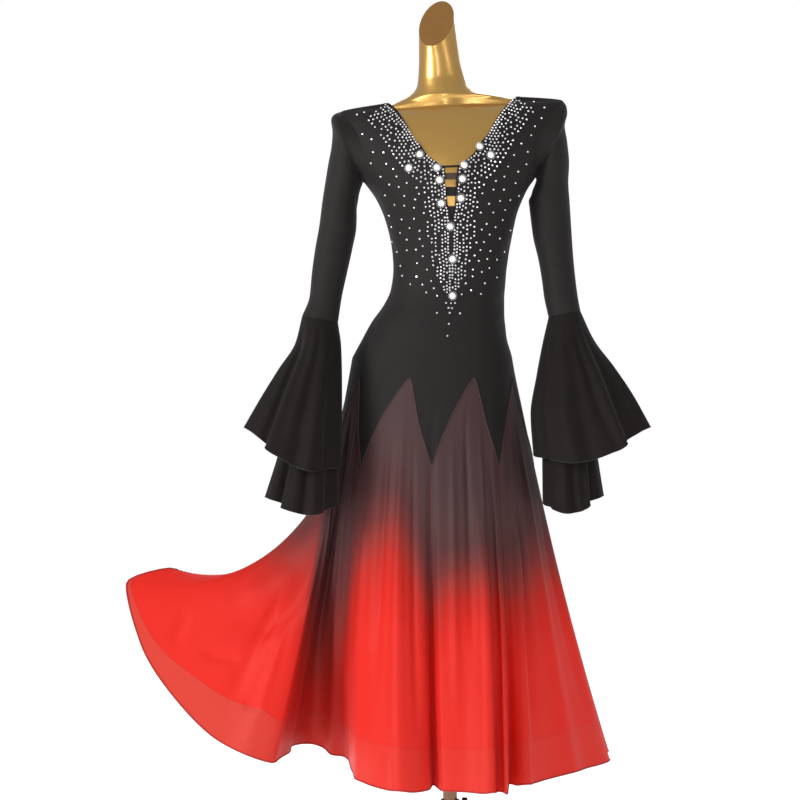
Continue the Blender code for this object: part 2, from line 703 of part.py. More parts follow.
def flounce(name, arm_row, rows, side, lower, material):
    """Build one tier of a flounce below the arm seam; the lower tier starts inside the upper."""
    axis = ring_axis(arm_row, side)
    first = shifted(arm_row, axis * SEAM_GAP)
    if lower:
        first = shrunk(shifted(arm_row, axis * (SEAM_GAP + LOWER_TIER_START)), LOWER_TIER_INSET)
    drop = LOWER_DROP if lower else UPPER_DROP
    rings = [flounce_ring(row, side, drop) for row in [first] + rows]
    return tube_wall(name, rings, axis, ring_axis(rows[-1], side), FLOUNCE_WALL, material)


def strap(name, row, material):
    """Build a strap that crosses the slit behind the bodice front."""
    columns = 4
    outer = []
    normals = []
    for z in (row.bottom, row.top):
        for i in range(columns + 1):
            angle = row.half_angle * (2 * i / columns - 1)
            outer.append(torso_point(angle, z, STRAP_INSET))
            normals.append(torso_normal(angle, z))
    across = columns + 1
    quads = [(i, i + 1, across + i + 1, across + i) for i in range(columns)]
    return close_wall(name, outer, normals, quads, STRAP_WALL, material)


def form_rings():
    """Return the form's rings from its flat bottom to its slanted neck cap."""
    turns = [2 * math.pi * i / FORM_SIDES for i in range(FORM_SIDES)]
    degrees = [math.degrees(turn) for turn in turns]
    hip = TORSO[1]
    rings = []
    for row in FORM_FOOT:
        ring = []
        for turn in turns:
            depth = hip.front if math.cos(turn) > 0 else hip.back
            x = hip.centre + (hip.half - FORM_INSET) * row.share * math.sin(turn)
            ring.append(Vector((x, -(depth - FORM_INSET) * row.share * math.cos(turn), row.z)))
        rings.append(ring)
    for row in TORSO[1:]:
        shoulder = row.z > UPPER[-3].arm_z
        drop = FORM_SHOULDER_DROP if shoulder else 0.0
        ring = [torso_point(angle, row.z, FORM_INSET) - Vector((0.0, 0.0, drop)) for angle in degrees]
        rings.append(ring)
    for row in NECK:
        ring = []
        for turn in turns:
            depth = row.front if math.cos(turn) > 0 else row.back
            x = row.centre + row.half * math.sin(turn)
            ring.append(Vector((x, -depth * math.cos(turn), row.z + NECK_TILT * x)))
        rings.append(ring)
    top = []
    for turn in turns:
        x = CAP_HALF * math.sin(turn)
        y = -CAP_DEPTH * math.cos(turn)
        top.append(CAP_CENTRE + Vector((x, y, CAP_SLOPE_X * x + CAP_SLOPE_Y * y)))
    base = rings[-1]
    for step in range(1, CAP_STEPS + 1):
        share = step / CAP_STEPS
        rings.append([low.lerp(high, share) for low, high in zip(base, top)])
    return rings


def loft_solid(name, rings, material):
    """Build a closed solid through rings that run round from the front to the viewer's right."""
    sides = len(rings[0])
    points = [point for ring in rings for point in ring]
    faces = [tuple(range(sides - 1, -1, -1))]
    faces.append(tuple(range(len(points) - sides, len(points))))
    for j in range(len(rings) - 1):
        for i in range(sides):
            low = j * sides
            after = (i + 1) % sides
            faces.append((low + i, low + after, low + sides + after, low + sides + i))
    return add_object(name, points, faces, material)


def turned_solid(name, profile, material, sides=ROUND_SIDES):
    """Turn a closed profile of (radius, height) points about Z; it may touch the axis."""
    points = []
    rings = []
    for radius, height in profile:
        if radius == 0.0:
            rings.append([len(points)])
            points.append(Vector((0.0, 0.0, height)))
            continue
        rings.append([len(points) + i for i in range(sides)])
        for i in range(sides):
            turn = 2 * math.pi * i / sides
            points.append(Vector((radius * math.cos(turn), radius * math.sin(turn), height)))
    faces = []
    for before, after in zip(rings, rings[1:] + rings[:1]):
        for i in range(sides):
            following = (i + 1) % sides
            corners = [before[i % len(before)], before[following % len(before)],
                       after[following % len(after)], after[i % len(after)]]
            corners = list(dict.fromkeys(corners))
            if len(corners) > 2:
                faces.append(tuple(corners))
    return add_object(name, points, faces, material, smooth_angle=35.0)


def stand_base(material):
    """Build the round plate with its boss."""
    profile = [(0.0, 0.0), (BASE_RADIUS, 0.0), (BASE_RADIUS, BASE_EDGE),
               (BASE_RADIUS - BASE_ROUND, BASE_EDGE + BASE_ROUND / 2), (BOSS_FOOT_RADIUS, BASE_CROWN),
               (BOSS_RADIUS, BOSS_FOOT_Z), (BOSS_RADIUS, BOSS_TOP), (0.0, BOSS_TOP)]
    return turned_solid("stand_base", profile, material, sides=48)


def stand_tubes(material):
    """Build the lower tube, which is open, and the upper tube with its flange."""
    bottom = BOSS_TOP + SEAM_GAP
    top = COLLAR_BOTTOM - SEAM_GAP
    profile = [(TUBE_BORE, bottom), (LOWER_TUBE_RADIUS, bottom), (LOWER_TUBE_RADIUS, top), (TUBE_BORE, top)]
    turned_solid("stand_lower_tube", profile, material)
    flange_top = FORM_BOTTOM_Z - SEAM_GAP
    flange_bottom = flange_top - FLANGE_THICKNESS
    profile = [(0.0, bottom), (UPPER_TUBE_RADIUS, bottom), (UPPER_TUBE_RADIUS, flange_bottom),
               (FLANGE_RADIUS, flange_bottom), (FLANGE_RADIUS, flange_top), (0.0, flange_top)]
    turned_solid("stand_upper_tube", profile, material)


def clamp_collar(material):
    """Build the collar with its screw hole towards +X."""
    profile = [(TUBE_BORE, COLLAR_BOTTOM), (COLLAR_RADIUS, COLLAR_BOTTOM),
               (COLLAR_RADIUS, COLLAR_TOP - COLLAR_CHAMFER), (COLLAR_RADIUS - COLLAR_CHAMFER, COLLAR_TOP),
               (TUBE_BORE, COLLAR_TOP)]
    collar = turned_solid("clamp_collar", profile, material)
    hole = [(0.0, 0.0), (SCREW_HOLE_RADIUS, 0.0), (SCREW_HOLE_RADIUS, KNOB_START), (0.0, KNOB_START)]
    cutter = turned_solid("screw_hole", hole, material, sides=SCREW_HOLE_SIDES)
    cutter.rotation_euler = (0.0, math.radians(90.0), 0.0)
    cutter.location = (0.0, 0.0, SCREW_Z)
    cutter.hide_render = True
    cutter.display_type = "WIRE"
    cut = collar.modifiers.new("screw_hole", "BOOLEAN")
    cut.operation = "DIFFERENCE"
    cut.object = cutter


def clamp_screw(material):
    """Build the screw with its lobed knob, on an axis towards +X."""
    tip = UPPER_TUBE_RADIUS + SEAM_GAP
    profile = [(SCREW_RADIUS, tip, 0.0), (SCREW_RADIUS, KNOB_START, 0.0),
               (KNOB_RADIUS - KNOB_EDGE, KNOB_START, 1.0), (KNOB_RADIUS, KNOB_START + KNOB_EDGE, 1.0),
               (KNOB_RADIUS, KNOB_END - KNOB_EDGE, 1.0), (KNOB_RADIUS - KNOB_EDGE, KNOB_END, 1.0)]
    rings = []
    for radius, along, lobed in profile:
        ring = []
        for i in range(KNOB_SIDES):
            turn = 2 * math.pi * i / KNOB_SIDES
            reach = radius + KNOB_LOBE * lobed * math.cos(KNOB_LOBES * turn)
            ring.append(Vector((along, reach * math.cos(turn), reach * math.sin(turn))))
        rings.append(ring)
    screw = loft_solid("clamp_screw", rings, material)
    screw.location = (0.0, 0.0, SCREW_Z)


def stone(name, row, bodice, material):
    """Build a domed round stone just off the bodice front."""
    side = (row.x - TORSO_CURVES["centre"](row.z)) / TORSO_CURVES["half"](row.z)
    angle = math.degrees(math.asin(side)) - TORSO_CURVES["turn"](row.z)
    seat = bodice.closest_point_on_mesh(torso_point(angle, row.z))[1]
    outward = torso_normal(angle, row.z)
    profile = [(0.0, 0.0), (STONE_RADIUS, 0.0), (STONE_RADIUS, STONE_GIRDLE),
               (STONE_TABLE_RADIUS, STONE_SHOULDER), (0.0, STONE_HEIGHT)]
    item = turned_solid(name, profile, material, sides=STONE_SIDES)
    item.rotation_euler = outward.to_track_quat("Z", "Y").to_euler()
    item.location = seat + outward * STONE_LIFT


def build_dress():
    """Build every cloth piece and the large stones."""
    jersey = make_material("black_jersey", (0.022, 0.019, 0.020), 0.6)
    georgette = make_material("black_georgette", (0.026, 0.023, 0.024), 0.7)
    satin = make_material("ombre_satin", (0.55, 0.025, 0.015), 0.45)
    crystal = make_material("white_stone", (0.85, 0.85, 0.88), 0.1)
    bodice = bodice_panel("bodice_front", True, jersey)
    bodice_panel("bodice_back", False, jersey)
    for number, row in enumerate(STRAPS, start=1):
        strap(f"slit_strap_{number}", row, jersey)
    for side_name, side, rows, upper, lower in (("left", -1, LEFT_SLEEVE, LEFT_UPPER, LEFT_LOWER),
                                                ("right", 1, RIGHT_SLEEVE, RIGHT_UPPER, RIGHT_LOWER)):
        sleeve(f"sleeve_{side_name}", rows, side, jersey)
        flounce(f"flounce_upper_{side_name}", rows[-1], upper, side, False, georgette)
        flounce(f"flounce_lower_{side_name}", rows[-1], lower, side, True, georgette)
    for number in range(1, PANELS + 1):
        skirt_panel(f"skirt_panel_{number}", number - 1 - PANELS // 2, satin)
    for number, row in enumerate(STONES, start=1):
        stone(f"stone_{number:02d}", row, bodice, crystal)


def build_stand():
    """Build the form and the stand that carries it."""
    gold = make_material("gold_gloss", (0.72, 0.48, 0.16), 0.22, 0.9)
    steel = make_material("brushed_steel", (0.62, 0.60, 0.58), 0.3, 1.0)
    plastic = make_material("black_plastic", (0.02, 0.02, 0.02), 0.4)
    loft_solid("form_body", form_rings(), gold)
    stand_base(steel)
    stand_tubes(steel)
    clamp_collar(plastic)
    clamp_screw(plastic)


clear_scene()
build_dress()
build_stand()
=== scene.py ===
"""Ballroom dance dress with a godet skirt and flounced sleeves on a limbless form: the looks.

The cloth repeats the part's own surfaces, more finely: one surface function for the torso, one for
the skirt and one for each sleeve and flounce. Creases are placed on them from the tables below.
Units are metres and degrees, +Z is up and the dress faces -Y.
"""

import math
import random
from collections import namedtuple

import bmesh
import bpy
import numpy as np
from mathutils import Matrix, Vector


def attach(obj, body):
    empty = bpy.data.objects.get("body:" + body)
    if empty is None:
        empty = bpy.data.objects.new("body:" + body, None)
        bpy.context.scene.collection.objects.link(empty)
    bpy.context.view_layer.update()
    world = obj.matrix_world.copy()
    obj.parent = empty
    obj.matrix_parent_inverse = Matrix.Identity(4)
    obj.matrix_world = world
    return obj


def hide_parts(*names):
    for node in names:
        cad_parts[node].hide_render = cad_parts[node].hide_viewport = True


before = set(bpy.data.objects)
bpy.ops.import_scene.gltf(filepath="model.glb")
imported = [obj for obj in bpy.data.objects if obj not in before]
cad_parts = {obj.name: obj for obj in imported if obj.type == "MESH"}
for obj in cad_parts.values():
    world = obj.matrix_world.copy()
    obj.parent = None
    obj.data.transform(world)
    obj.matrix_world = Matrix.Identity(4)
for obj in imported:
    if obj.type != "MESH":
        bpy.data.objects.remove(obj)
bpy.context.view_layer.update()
SEED = 7

# Camera, at the height and distance that the photograph gives
CAMERA_PLACE = (-0.0885, -3.55, 0.8974)
LENS_MM = 90.25
SENSOR_MM = 36.0

# Cloth and seams; two edge points nearer than MEETING are one
SEAM_GAP = 0.0003
MEETING = 1e-6
LEAST_LENGTH = 1e-12
HEM_BAND = 0.070

# Heights of the figure, before its shoulders are tilted
HIP_Z = 0.9717
SHOULDER_TILT = 0.05
TILT_STARTS_Z = 1.2514
TILT_FULL_Z = 1.3222
NECK_TILT = 0.025

# The form inside the cloth
FORM_INSET = 0.0042
FORM_SHOULDER_DROP = 0.0042
FORM_BOTTOM_Z = 0.850
FORM_SIDES = 160
FORM_ROWS = 260

# Godet skirt: eight panels, seams at whole numbers of u, peaks half way between; lengths down the
# cloth are measured on more rows than the panel has
PANELS = 8
PEAK_V = 0.05
TIP_V = 0.265
HIP_TURN = 8.5
TURN_DONE_V = 0.20
PEAK_CURVE = 1.25
PANEL_COLUMNS = 48
PANEL_ROWS = 110
MEASURED_ROWS = 240

# Bodice and sleeves
BODICE_COLUMNS = 2 * PANEL_COLUMNS
BODICE_ROWS = 150
ROW_APART = 0.002
FINGER_ROWS = 44
SLEEVE_SIDES = 84
SLEEVE_ROWS = 120
FLOUNCE_SIDES = 190
FLOUNCE_ROWS = 64

# How far apart two points are taken to find a surface's slope
SLOPE_ANGLE = 1.0
SLOPE_HEIGHT = 0.002
SLOPE_PANELS = 0.01

# Where the weave of the next panel and of the bodice's right half starts
PANEL_WEAVE_START = 0.35
HALF_WEAVE_START = 0.3

# Creases: how many points a crease is measured at and how it fades out at its ends
CREASE_POINTS = 48
CREASE_FADE = 0.3
EDGE_KEPT_SHARE = 0.06
ALL_EDGES = ("left", "right", "top", "bottom")


def table(columns, *rows, defaults=()):
    """Return rows with named columns; the defaults fill the last columns of a shorter row."""
    row_type = namedtuple("Row", columns, defaults=defaults)
    return [row_type(*row) for row in rows]


# One row for each level of the torso, outside the cloth: centre and half width across, depth to
# the front and the back, and the turn of the centre front towards the viewer's right
TORSO = table(
    "z centre half front back turn",
    (0.9400, -0.0370, 0.1500, 0.1010, 0.1180, 8.0),
    (0.9717, -0.0315, 0.1415, 0.0980, 0.1170, 9.0),
    (1.0036, -0.0275, 0.1285, 0.0950, 0.1100, 9.3),
    (1.0354, -0.0205, 0.1180, 0.0910, 0.1000, 8.0),
    (1.0673, -0.0100, 0.1060, 0.0860, 0.0880, 5.5),
    (1.0921, -0.0040, 0.1010, 0.0830, 0.0800, 3.5),
    (1.1204, -0.0007, 0.1000, 0.0820, 0.0750, 2.0),
    (1.1523, 0.0010, 0.1025, 0.0850, 0.0760, 0.8),
    (1.1806, 0.0015, 0.1070, 0.0900, 0.0790, 0.0),
    (1.2054, 0.0010, 0.1125, 0.0970, 0.0830, 0.0),
    (1.2266, 0.0000, 0.1185, 0.1040, 0.0860, 0.0),
    (1.2514, -0.0010, 0.1290, 0.1120, 0.0900, 0.0),
    (1.2691, -0.0020, 0.1390, 0.1150, 0.0930, 0.0),
    (1.2868, -0.0010, 0.1520, 0.1140, 0.0950, 0.0),
    (1.2974, -0.0010, 0.1600, 0.1120, 0.0960, 0.0),
    (1.3222, -0.0010, 0.1720, 0.1060, 0.0960, 0.0),
    (1.3487, -0.0010, 0.1830, 0.0960, 0.0920, 0.0),
    (1.3753, 0.0000, 0.1950, 0.0820, 0.0840, 0.0),
    (1.3965, 0.0010, 0.2010, 0.0660, 0.0720, 0.0),
    (1.4107, 0.0030, 0.2000, 0.0500, 0.0580, 0.0),
    (1.4178, 0.0035, 0.1950, 0.0340, 0.0440, 0.0),
    (1.4284, 0.0030, 0.1177, 0.0400, 0.0500, 0.0),
)

# The form narrows a little below the hip, down to its flat bottom
FORM_FOOT = table(
    "z share",
    (FORM_BOTTOM_Z, 0.86),
    (0.9000, 0.95),
    (0.9400, 0.985),
)

# One row for each level of the neck of the form
NECK = table(
    "z centre half front back",
    (1.4318, 0.0020, 0.0830, 0.0430, 0.0500),
    (1.4375, -0.0070, 0.0640, 0.0420, 0.0480),
    (1.4440, -0.0106, 0.0530, 0.0410, 0.0460),
    (1.4540, -0.0133, 0.0450, 0.0395, 0.0430),
    (1.4665, -0.0150, 0.0415, 0.0380, 0.0410),
    (1.4992, -0.0186, 0.0363, 0.0360, 0.0380),
)
CAP_CENTRE = Vector((-0.0240, 0.0, 1.5640))
CAP_HALF = 0.0310
CAP_DEPTH = 0.0360
CAP_SLOPE_X = 0.45
CAP_SLOPE_Y = 1.22
CAP_STEPS = 4

# Levels of the bodice's rows: below the armpit both ends of a row are level, above it a row runs
# from the armhole to the neckline
LEVELS = (0.9717, 1.0036, 1.0354, 1.0720, 1.1080, 1.1420, 1.1750, 1.2050, 1.2260, 1.2460, 1.2670)
UPPER = table(
    "arm_z front_neck_z back_neck_z opening_angle",
    (1.2868, 1.2830, 1.2868, 90.0),
    (1.2921, 1.2965, 1.2950, 80.0),
    (1.3027, 1.3000, 1.3080, 70.0),
    (1.3169, 1.3130, 1.3220, 62.5),
    (1.3346, 1.3300, 1.3400, 58.5),
    (1.3523, 1.3480, 1.3600, 57.0),
    (1.3717, 1.3700, 1.3790, 57.5),
    (1.3894, 1.3900, 1.3920, 61.0),
    (1.4054, 1.4080, 1.4080, 69.0),
    (1.4142, 1.4213, 1.4213, 79.0),
    (1.4178, 1.4284, 1.4284, 90.0),
)

# Half width of the neck opening by level
FRONT_NECK = table(
    "z half",
    (1.2050, 0.0000),
    (1.2110, 0.0022),
    (1.2301, 0.0060),
    (1.2655, 0.0092),
    (1.2965, 0.0112),
    (1.2981, 0.0131),
    (1.3204, 0.0398),
    (1.3408, 0.0531),
    (1.3540, 0.0646),
    (1.3806, 0.0779),
    (1.4213, 0.1071),
    (1.4284, 0.1177),
)
BACK_NECK = table(
    "z half",
    (1.3790, 0.0000),
    (1.3920, 0.0480),
    (1.4080, 0.0760),
    (1.4213, 0.1040),
    (1.4284, 0.1177),
)

# Straps across the slit, lowest first
STRAPS = table(
    "bottom top half_angle",
    (1.2075, 1.2301, 5.5),
    (1.2473, 1.2627, 9.0),
    (1.2758, 1.2871, 9.0),
    (1.2972, 1.3002, 10.0),
)
STRAP_INSET = 0.0024

# One row for each ring of a sleeve: its point farthest from the body, its point nearest to the
# body, half its depth and how far forward it hangs
LEFT_SLEEVE = table(
    "out_x out_z in_x in_z depth y",
    (-0.2050, 1.4027, -0.1543, 1.2824, 0.0510, 0.002),
    (-0.2106, 1.3930, -0.1558, 1.2780, 0.0525, 0.002),
    (-0.2080, 1.3700, -0.1575, 1.2735, 0.0525, 0.002),
    (-0.2096, 1.3470, -0.1592, 1.2682, 0.0515, 0.000),
    (-0.2150, 1.3169, -0.1610, 1.2603, 0.0485, -0.002),
    (-0.2204, 1.2833, -0.1625, 1.2496, 0.0455, -0.004),
    (-0.2257, 1.2479, -0.1643, 1.2337, 0.0425, -0.007),
    (-0.2308, 1.2054, -0.1654, 1.2018, 0.0400, -0.012),
    (-0.2379, 1.1629, -0.1724, 1.1629, 0.0370, -0.020),
    (-0.2432, 1.1204, -0.1813, 1.1204, 0.0340, -0.030),
    (-0.2468, 1.0779, -0.1901, 1.0779, 0.0310, -0.042),
    (-0.2593, 1.0431, -0.1965, 1.0328, 0.0300, -0.054),
)
RIGHT_SLEEVE = table(
    "out_x out_z in_x in_z depth y",
    (0.2060, 1.4170, 0.1530, 1.2875, 0.0510, 0.002),
    (0.2075, 1.4050, 0.1515, 1.2820, 0.0525, 0.002),
    (0.2030, 1.3830, 0.1492, 1.2760, 0.0525, 0.002),
    (0.2070, 1.3558, 0.1462, 1.2691, 0.0515, 0.000),
    (0.2106, 1.3151, 0.1430, 1.2590, 0.0485, -0.002),
    (0.2090, 1.2833, 0.1382, 1.2479, 0.0455, -0.004),
    (0.2110, 1.2479, 0.1412, 1.2266, 0.0425, -0.007),
    (0.2137, 1.1983, 0.1465, 1.1841, 0.0400, -0.012),
    (0.2160, 1.1540, 0.1550, 1.1450, 0.0370, -0.020),
    (0.2195, 1.1100, 0.1610, 1.1060, 0.0340, -0.028),
    (0.2230, 1.0779, 0.1640, 1.0779, 0.0310, -0.036),
    (0.2270, 1.0530, 0.1712, 1.0425, 0.0300, -0.042),
)

# Flounces: the same columns, with the share of the full wave, a row for each level of a tier
FlounceRow = namedtuple("FlounceRow", "out_x out_z in_x in_z depth y wave")
INNER_WAVE_SHARE = 0.25
WAVE_START = 0.6
FLOUNCE_WAVES = 7
FLOUNCE_WAVE = 0.0110
FINE_WAVE_SHARE = 0.30
SLOW_WAVE_SHARE = 0.22
SLOW_WAVES = 4
SLOW_WAVE_START = 1.0
LEFT_UPPER = [
    FlounceRow(-0.2680, 0.9965, -0.1905, 0.9900, 0.0400, -0.066, 0.15),
    FlounceRow(-0.2915, 0.9505, -0.1885, 0.9350, 0.0540, -0.080, 0.45),
    FlounceRow(-0.3165, 0.9000, -0.1880, 0.8700, 0.0670, -0.094, 0.75),
    FlounceRow(-0.3420, 0.8460, -0.1880, 0.7850, 0.0790, -0.108, 1.00),
]
LEFT_LOWER = [
    FlounceRow(-0.2610, 0.9680, -0.1960, 0.9630, 0.0330, -0.066, 0.10),
    FlounceRow(-0.2740, 0.8885, -0.1950, 0.8800, 0.0430, -0.085, 0.35),
    FlounceRow(-0.2890, 0.8090, -0.1935, 0.7990, 0.0530, -0.104, 0.60),
    FlounceRow(-0.3080, 0.7310, -0.1925, 0.7200, 0.0600, -0.120, 0.95),
]
RIGHT_UPPER = [
    FlounceRow(0.2480, 1.0020, 0.1600, 0.9950, 0.0410, -0.048, 0.15),
    FlounceRow(0.2765, 0.9560, 0.1490, 0.9400, 0.0550, -0.056, 0.45),
    FlounceRow(0.3040, 0.9060, 0.1380, 0.8720, 0.0680, -0.064, 0.75),
    FlounceRow(0.3310, 0.8480, 0.1420, 0.8030, 0.0800, -0.072, 1.00),
]
RIGHT_LOWER = [
    FlounceRow(0.2350, 0.9750, 0.1680, 0.9700, 0.0330, -0.048, 0.10),
    FlounceRow(0.2410, 0.8885, 0.1600, 0.8800, 0.0430, -0.058, 0.35),
    FlounceRow(0.2460, 0.8090, 0.1585, 0.7990, 0.0530, -0.066, 0.60),
    FlounceRow(0.2530, 0.7310, 0.1590, 0.7200, 0.0600, -0.074, 0.95),
]
ARMS = table(
    "name side sleeve upper lower",
    ("left", -1, LEFT_SLEEVE, LEFT_UPPER, LEFT_LOWER),
    ("right", 1, RIGHT_SLEEVE, RIGHT_UPPER, RIGHT_LOWER),
)

# The two tiers: how far below the seam and how far inside it they start, how far they drop and
# where their fine wave starts
Tier = namedtuple("Tier", "name start inset drop fine_start")
UPPER_TIER = Tier("upper", 0.0, 0.0, 0.030, 0.9)
LOWER_TIER = Tier("lower", 0.002, 0.0020, 0.022, 2.1)

# The hem, a row for each ridge, trough and seam: its place round the skirt, in panels from the
# centre front, and where it lies
HEM = table(
    "u x y z",
    (-4.00, 0.000, 0.225, 0.262),
    (-3.90, -0.040, 0.295, 0.262),
    (-3.70, -0.130, 0.275, 0.275),
    (-3.50, -0.230, 0.230, 0.320),
    (-3.30, -0.345, 0.155, 0.415),
    (-3.12, -0.440, 0.080, 0.540),
    (-3.00, -0.500, 0.035, 0.597),
    (-2.90, -0.572, -0.005, 0.574),
    (-2.70, -0.540, -0.045, 0.468),
    (-2.50, -0.476, -0.065, 0.375),
    (-2.30, -0.403, -0.082, 0.309),
    (-2.10, -0.338, -0.092, 0.280),
    (-2.00, -0.308, -0.085, 0.271),
    (-1.85, -0.297, -0.054, 0.274),
    (-1.65, -0.283, 0.034, 0.279),
    (-1.40, -0.245, 0.085, 0.274),
    (-1.15, -0.195, 0.050, 0.260),
    (-1.00, -0.180, 0.010, 0.259),
    (-0.90, -0.172, -0.085, 0.258),
    (-0.70, -0.148, -0.198, 0.258),
    (-0.45, -0.100, -0.268, 0.258),
    (-0.30, -0.073, -0.282, 0.258),
    (-0.10, -0.041, -0.258, 0.258),
    (0.00, -0.033, -0.215, 0.258),
    (0.10, -0.019, -0.268, 0.258),
    (0.40, 0.020, -0.278, 0.258),
    (0.62, 0.052, -0.292, 0.258),
    (0.75, 0.070, -0.270, 0.258),
    (0.90, 0.086, -0.295, 0.258),
    (1.00, 0.094, -0.205, 0.258),
    (1.10, 0.110, -0.222, 0.258),
    (1.40, 0.165, -0.160, 0.258),
    (1.70, 0.232, -0.070, 0.258),
    (1.90, 0.285, 0.020, 0.258),
    (2.00, 0.268, 0.070, 0.258),
    (2.10, 0.292, 0.105, 0.258),
    (2.50, 0.225, 0.165, 0.258),
    (2.90, 0.195, 0.245, 0.258),
    (3.00, 0.140, 0.205, 0.258),
    (3.10, 0.130, 0.280, 0.258),
    (3.50, 0.088, 0.254, 0.258),
    (3.90, 0.040, 0.295, 0.258),
)

# The smooth drape that pulls the cloth half way between hip and hem, in the same columns
DRAPE = table(
    "u x y z",
    (-4.0, -0.036, 0.176, 0.615),
    (-3.5, -0.140, 0.125, 0.590),
    (-3.0, -0.236, 0.039, 0.515),
    (-2.5, -0.250, -0.012, 0.545),
    (-2.0, -0.232, -0.034, 0.600),
    (-1.5, -0.212, -0.069, 0.612),
    (-1.0, -0.185, -0.110, 0.612),
    (-0.5, -0.112, -0.148, 0.614),
    (0.0, -0.040, -0.160, 0.615),
    (0.5, 0.032, -0.158, 0.615),
    (1.0, 0.097, -0.128, 0.615),
    (1.5, 0.138, -0.060, 0.615),
    (2.0, 0.182, 0.030, 0.615),
    (2.5, 0.150, 0.100, 0.615),
    (3.0, 0.092, 0.150, 0.615),
    (3.5, 0.036, 0.172, 0.615),
)

# Where the large stones sit on the bodice front
STONES = table(
    "x z",
    (-0.0542, 1.3227),
    (-0.0731, 1.2995),
    (-0.0250, 1.2970),
    (-0.0205, 1.2747),
    (-0.0175, 1.2353),
    (0.0487, 1.3314),
    (0.0676, 1.3158),
    (0.0215, 1.2995),
    (0.0185, 1.2763),
    (0.0160, 1.2438),
    (-0.0019, 1.1965),
    (0.0023, 1.1411),
    (0.0023, 1.0772),
)

# Straps: which are sheer, and how finely they are made
SHEER_STRAPS = (3,)
STRAP_COLUMNS = 24
STRAP_ROWS = 6

# Soft folds of the skirt, each from one place to another down the cloth: places in panels round
# from the centre front, v from hip to hem, half width in panels and height in metres
FOLD_START_SHARE = 0.6
FOLD_FADE_IN = 0.35
FOLD_FADE_OUT = 0.35
SEAM_KEPT = 0.06
FOLDS = table(
    "start_u end_u start_v end_v width height",
    (-0.62, -0.62, 0.10, 0.85, 0.060, -0.0065),
    (-0.42, -0.40, 0.10, 1.00, 0.070, 0.0072),
    (-0.26, -0.20, 0.16, 0.95, 0.045, -0.0058),
    (-0.84, -0.78, 0.30, 1.00, 0.050, 0.0058),
    (0.28, 0.30, 0.14, 0.90, 0.060, 0.0051),
    (0.47, 0.50, 0.08, 0.75, 0.050, -0.0058),
    (0.70, 0.66, 0.12, 1.00, 0.040, 0.0065),
    (0.84, 0.80, 0.20, 0.85, 0.035, -0.0058),
    (1.22, 1.16, 0.20, 1.00, 0.050, 0.0072),
    (1.36, 1.32, 0.16, 0.90, 0.045, -0.0087),
    (1.58, 1.60, 0.14, 1.00, 0.070, 0.0072),
    (1.80, 1.80, 0.30, 0.95, 0.050, -0.0072),
    (2.25, 2.28, 0.14, 1.00, 0.060, 0.0087),
    (2.50, 2.46, 0.08, 0.90, 0.055, -0.0087),
    (2.74, 2.70, 0.16, 1.00, 0.060, 0.0072),
    (3.30, 3.26, 0.12, 0.95, 0.055, -0.0072),
    (3.54, 3.56, 0.08, 1.00, 0.070, 0.0087),
    (3.78, 3.76, 0.20, 0.85, 0.050, -0.0065),
    (-3.30, -3.34, 0.14, 1.00, 0.080, 0.0116),
    (-3.58, -3.60, 0.10, 0.95, 0.070, -0.0101),
    (-3.82, -3.80, 0.16, 1.00, 0.060, 0.0087),
    (-2.20, -2.16, 0.62, 1.00, 0.050, 0.0050),
    (-2.42, -2.34, 0.55, 0.95, 0.060, -0.0060),
    (-1.24, -1.22, 0.12, 1.00, 0.060, 0.0087),
    (-1.46, -1.50, 0.10, 0.90, 0.060, -0.0087),
    (-1.72, -1.74, 0.20, 1.00, 0.060, 0.0072),
)

# Where the dye turns from brown to red, measured down the cloth from the hip, how much painted shade
# darkens the recess, the share of the hem band's width that shows and how strongly that sheer band is painted
# lighter for the light that comes through it
DYE_AND_PAINTED_LIGHT = table(
    "u start full shadow band sheer",
    (-4.00, 0.300, 0.420),
    (-3.50, 0.290, 0.420),
    (-3.06, 0.300, 0.430, 0.0, 0.6),
    # On the wing, down to the row at -2.00, the sheer hem band is painted lighter than elsewhere for the
    # light that comes through it
    (-3.00, 0.300, 0.430, 0.0, 0.05, 0.9),
    (-2.80, 0.295, 0.420, 0.0, 0.20, 0.9),
    (-2.50, 0.290, 0.410, 0.0, 0.75, 0.9),
    (-2.15, 0.260, 0.400, 0.0, 1.15, 0.9),
    # From here to the row at -0.98 is the recess: the red starts lower and the shadow column darkens the
    # colour, both painted shade
    (-2.00, 0.300, 0.460, 0.3, 1.0, 0.55),
    (-1.85, 0.330, 0.580, 0.8, 1.0),
    (-1.50, 0.350, 0.620, 1.0, 1.0),
    (-1.12, 0.330, 0.560, 0.8, 1.0),
    (-0.98, 0.280, 0.440, 0.2, 1.0),
    (-0.85, 0.255, 0.390),
    (-0.50, 0.230, 0.350),
    (-0.25, 0.275, 0.400),
    (0.00, 0.340, 0.470),
    (0.20, 0.335, 0.430),
    (0.50, 0.330, 0.420),
    (0.80, 0.330, 0.430),
    (1.00, 0.340, 0.450),
    (1.30, 0.330, 0.440),
    (1.70, 0.300, 0.410),
    (2.00, 0.300, 0.420),
    (2.50, 0.290, 0.410),
    (3.00, 0.310, 0.430),
    (3.50, 0.290, 0.410),
    defaults=(0.0, 1.0, 0.22),
)
